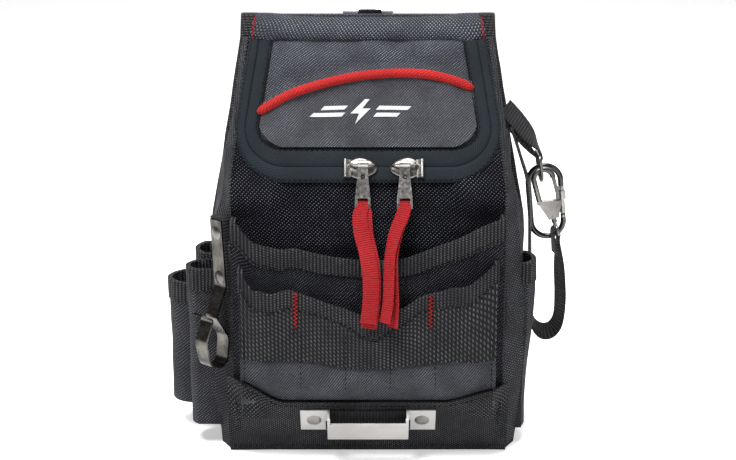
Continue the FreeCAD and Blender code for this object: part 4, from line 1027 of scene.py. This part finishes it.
def ribbons():
    """Each ribbon is folded in half through its pull, and its two ends hang side by side."""
    for side, (front, top_across, low_across) in RIBBON_DRAPES.items():
        low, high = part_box("pull_ribbon_" + side)
        middle = (low.x + high.x) / 2
        rows = []
        for i, (x, y, z) in enumerate(front):
            share = ease(0.0, 0.5, i / (len(front) - 1))
            across = Vector(top_across).lerp(Vector(low_across), share)
            rows.append((x * MM, y * MM, z * MM, *across))
        back = []
        for i, row in enumerate(rows):
            apart = (3.0 - 0.5 * i) if side == "left" else (1.0 + 0.16 * i**2)
            back.append((row[0] + apart * MM, row[1] + 1.9 * MM, row[2] + (1.0 - 1.0 * i) * MM, *row[3:6]))
        loop = [
            (middle, high.y - 0.0042, high.z - 0.0030, 0.80, 0, 0),
            (middle, high.y - 0.0014, high.z - 0.0002, 0.66, 0, 0),
            (middle, high.y + 0.0004, high.z - 0.0030, 0.80, 0, 0),
        ]
        route = rows[::-1] + loop + back
        body = "ribbon_" + side
        made = strip("hanging_" + body, route, RIBBON_WIDE, RIBBON_THICK, body, "red_ribbon")
        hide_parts("pull_" + body)


def tape_strap():
    """The tape strap, in one piece from the bag round its lower bend and through the swivel's eye."""
    eye_low, eye_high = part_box("swivel_eye")
    bar = Vector(((eye_low.x + eye_high.x) / 2 + 0.0012, 0, eye_low.z + 0.0012))
    y = (eye_low.y + eye_high.y) / 2
    route = [
        (0.0985, y, 0.2200, 0.1, 1, 0), (0.1052, y, 0.2000, 0.1, 1, 0), (0.1118, y, 0.1760, 0.15, 1, 0),
        (0.1142, y, 0.1300, 0.20, 1, 0.05), (0.1156, y - 0.001, 0.0930, 0.15, 1, 0.20),
        (0.1170, y - 0.002, 0.0800, 0.05, 1, 0.42), (0.1208, y - 0.002, 0.0732, 0, 1, 0.46),
        (0.1265, y - 0.002, 0.0706, 0, 1, 0.46), (0.1322, y - 0.002, 0.0732, -0.05, 1, 0.46),
        (0.1360, y - 0.001, 0.0810, -0.25, 1, 0.35), (0.1368, y, 0.0970, -0.40, 0.95, 0.15),
        (0.1352, y, 0.1200, -0.35, 0.95, 0), (bar.x + 0.0021, y, bar.z - 0.006, 0, 1, 0),
        (bar.x + 0.0022, y, bar.z, 0, 1, 0), (bar.x, y, bar.z + 0.0022, 0, 1, 0),
        (bar.x - 0.0022, y, bar.z, 0, 1, 0), (bar.x - 0.0008, y, bar.z - 0.007, -0.1, 1, 0),
        (bar.x + 0.0006, y, bar.z - 0.016, -0.2, 1, 0),
    ]
    loop = strip("tape_strap_webbing", route, 15 * MM, STRAP_THICK, None, "strap", 5)
    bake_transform(loop)
    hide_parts("tape_strap_inner", "tape_strap_outer")


def ring_strap():
    """The ring's strap, sewn to the bag by both ends and folded through the ring."""
    low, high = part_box("ring_strap")
    top = Vector((0.1185, 0, 0.199))
    middle = (low.y + high.y) / 2
    along = (Vector((0.0935, 0, 0.232)) - top).normalized()
    across = Vector((-along.z, 0, along.x))

    def layer(sign, stops):
        """Rows of one layer of the strap, which twists as it leaves the ring."""
        made = []
        for reach, off in stops:
            place = top + along * reach + across * off * MM * sign
            twist = ease(0.0, 0.02, reach)
            turned = (0.42 * twist, 1 - 0.12 * twist, 0.40 * twist)
            made.append((place.x, middle - 0.0012 * twist, place.z, *turned))
        return made

    near = top - along * 0.0024
    fold = [
        near.lerp(top - across * 0.0024, 0.5), top - along * 0.0026, near.lerp(top + across * 0.0024, 0.5)
    ]
    rows = layer(-1, ((0.041, 1.2), (0.028, 2.4), (0.014, 3.0), (0.004, 2.8)))
    rows += [(p.x, middle, p.z, 0, 1, 0) for p in fold]
    rows += layer(1, ((0.004, 2.2), (0.014, 1.0), (0.028, 0.6), (0.041, 0.2)))
    ring = strip("ring_webbing", rows, 18 * MM, STRAP_THICK, "pouch", "strap", 5)
    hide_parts("ring_strap")


def slider_point(side, ahead, over, out):
    """A point of a slider: ahead towards its narrow end, over the zip's line, and out of the lid."""
    facing = 1 if side == "left" else -1
    return on_lid(SLIDER_ACROSS[side] + facing * ahead * MM, ZIP_DROP - over * MM, out * MM)


def slider_body(side):
    """A crowned plate, narrow at the end that leads and wide at the shoulder; its darker nickel is painted
    shade on the crown.
    """
    layers = [(1.0, 1.5), (1.0, 2.4), (0.95, 3.0), (0.80, 3.5), (0.55, 3.9), (0.25, 4.05), (0.05, 4.1)]
    sections = []
    for scale, out in layers:
        ring = []
        for i in range(32):
            turn = 2 * pi * i / 32
            ahead = (SLIDER_NOSE if cos(turn) > 0 else SLIDER_TAIL) * cos(turn)
            width = 7.8 - 2.6 * ease(-4.0, 10.0, ahead)
            over = width * (abs(sin(turn)) ** 0.8) * (1 if sin(turn) > 0 else -1)
            ring.append(slider_point(side, ahead * scale, over * scale - 1.5, out))
        sections.append(ring)
    name = "slider_" + side
    made = swept(name, sections, "hook_nickel", lambda i, j: (i * 0.001, j * 0.001), name)
    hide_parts("zip_slider_" + side)


def slider_shoulder(side):
    """The raised flat plate at a slider's wide end, in brighter nickel as a painted highlight."""
    profile = [(-12.6, 1.6), (-12.6, 4.6), (-12.2, 5.2), (-11.2, 5.2), (-10.6, 4.4), (-8.0, 3.4), (-8.0, 1.6)]
    sections = []
    for over in (-8.2, -7.8, 3.8, 4.2):
        sections.append([slider_point(side, ahead, over, out) for ahead, out in profile])
    name = "slider_shoulder_" + side
    swept(name, sections, "pull", lambda i, j: (i * 0.001, j * 0.001), "slider_" + side)


def slider_bridge(side):
    """The wire bridge that carries a slider's pull."""
    bridge = [
        (-8.6, 2.6), (-8.2, 4.6), (-7.0, 6.3), (-5.2, 6.85), (0.0, 6.85), (5.2, 6.85), (7.0, 6.1),
        (8.0, 4.4), (8.3, 2.4),
    ]
    route = [slider_point(side, ahead, 0.0, out) for ahead, out in bridge]
    cord_piece("slider_bridge_" + side, route, 1.0 * MM, "slider_" + side, "nickel", 5)


def sliders():
    for side in SLIDER_ACROSS:
        slider_body(side)
        slider_shoulder(side)
        slider_bridge(side)


def surface(pieces):
    """A search tree of the finished pieces, for putting thread on them."""
    bm = bmesh.new()
    for piece in pieces:
        bm.from_mesh(bpy.data.objects[piece].data)
    tree = BVHTree.FromBMesh(bm)
    bm.free()
    return tree


def on_front(tree, places, lift=0.15):
    """Points lift millimetres in front of the pieces, at places across and up; misses are left out."""
    line = []
    for across, height in places:
        hit = tree.ray_cast(Vector((across, -0.3, height)), -FORWARD)[0]
        if hit is not None:
            line.append(hit + Vector((0, -lift * MM, 0)))
    return line


def spaced(low, high, count):
    return [low + (high - low) * i / (count - 1) for i in range(count)]


def front_seams():
    """Thread rows and seams of the two pocket tiers and the band below them."""
    front = surface(["pockets_front", "pockets_front_edge", "pockets_webbing", "foot_band"])
    rear = surface(["pockets_rear", "pockets_rear_edge"])
    wide = spaced(-0.0845, 0.0845, 90)
    rows = {
        "front_edge_stitch": [(x, trim_foot(FRONT_MOUTH, FRONT_RIM, x) + 0.0012) for x in wide],
        "band_top_stitch": [(x, BAND_TOP - 0.0035 + corner_rise(x)) for x in spaced(-0.090, 0.090, 80)],
        "band_low_stitch": [(x, 0.0045) for x in spaced(-0.094, 0.094, 60)],
    }
    for name, places in rows.items():
        stitches(name, on_front(front, places))
    wide = spaced(-0.0890, 0.0890, 90)
    places = [(x, trim_foot(REAR_MOUTH, REAR_RIM, x) + 0.0012) for x in wide]
    stitches("rear_edge_stitch", on_front(rear, places))
    for i, across in enumerate((-0.083, -0.045, -0.015, 0.015, 0.045, 0.083)):
        places = [(across, z) for z in spaced(0.0560, 0.0960, 18)]
        stitches("webbing_stitch_%d" % i, on_front(front, places))
    places = [(x, BAND_TOP + corner_rise(x) + 0.0006) for x in spaced(-0.0925, 0.0925, 70)]
    seam = on_front(front, places, 0.1)
    cord_piece("band_seam", seam, 0.6 * MM, "pouch", "black_thread")
    for side, middle in BARTACKS.items():
        heights = spaced(0.0990, 0.1245, 20)
        bar = [(middle + (1.2 if i % 2 else -1.2) * MM, height) for i, height in enumerate(heights)]
        route = on_front(front, bar, 0.35)
        made = cord_piece("bartack_" + side, route, 0.50 * MM, "pouch", "red_thread")
        if side == "left":
            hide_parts("pocket_bartacks")
    under = on_front(front, [(-0.029, 0.030), (0.029, 0.030)], 0.9)
    rows = [(p.x, p.y, p.z, 0, -0.45, 0.89) for p in under]
    strip("bracket_webbing", rows, 20 * MM, STRAP_THICK, "pouch", "strap", 4)


def body_seams():
    """Corded seams where the front panel meets the sides."""
    stops = [
        (0.0950, 0.0745, 0.001), (0.0920, 0.0803, BAND_TOP), (0.0918, 0.0775, 0.150),
        (0.0918, 0.0665, CREASE), (0.0872, 0.0335, 0.237),
    ]
    for side, sign in SIDES:
        route = [(sign * across, BACK_FACE - depth, height) for across, depth, height in stops]
        cord_piece("front_seam_" + side, route, 0.9 * MM, "pouch", "binding", 8, 0.3)


KEPT = {
    "back_board": "board", "zip_pull_left": "pull", "zip_pull_right": "pull", "tape_bracket": "bracket",
    "tape_bracket_rivets": "hook_nickel", "spring_hook": "gunmetal", "spring_hook_rivets": "hook_nickel",
    "belt_clip": "steel", "belt_clip_rivets": "nickel", "d_ring": "hook_nickel",
    "carabiner": "black_metal", "carabiner_pin": "nickel", "carabiner_gate": "nickel",
    "snap_hook": "hook_nickel", "snap_hook_pin": "nickel", "snap_hook_gate": "hook_nickel",
    "swivel_eye": "hook_nickel",
}


def kept_pieces():
    """Pieces that keep their CAD shape, with their sharp edges eased."""
    for name, look in KEPT.items():
        piece = NODES[name]
        paint(piece, look)
        bevel = piece.modifiers.new("edges", "BEVEL")
        bevel.width = 0.25 * MM
        bevel.segments = 2
        bevel.limit_method = "ANGLE"
        bevel.angle_limit = radians(35)


camera()
studio()
soft_pieces()
zip_tapes()
bindings()
top_fold()
lid_cord()
edge_stitches()
lid_mark()
sliders()
ribbons()
tape_strap()
ring_strap()
front_seams()
body_seams()
kept_pieces()
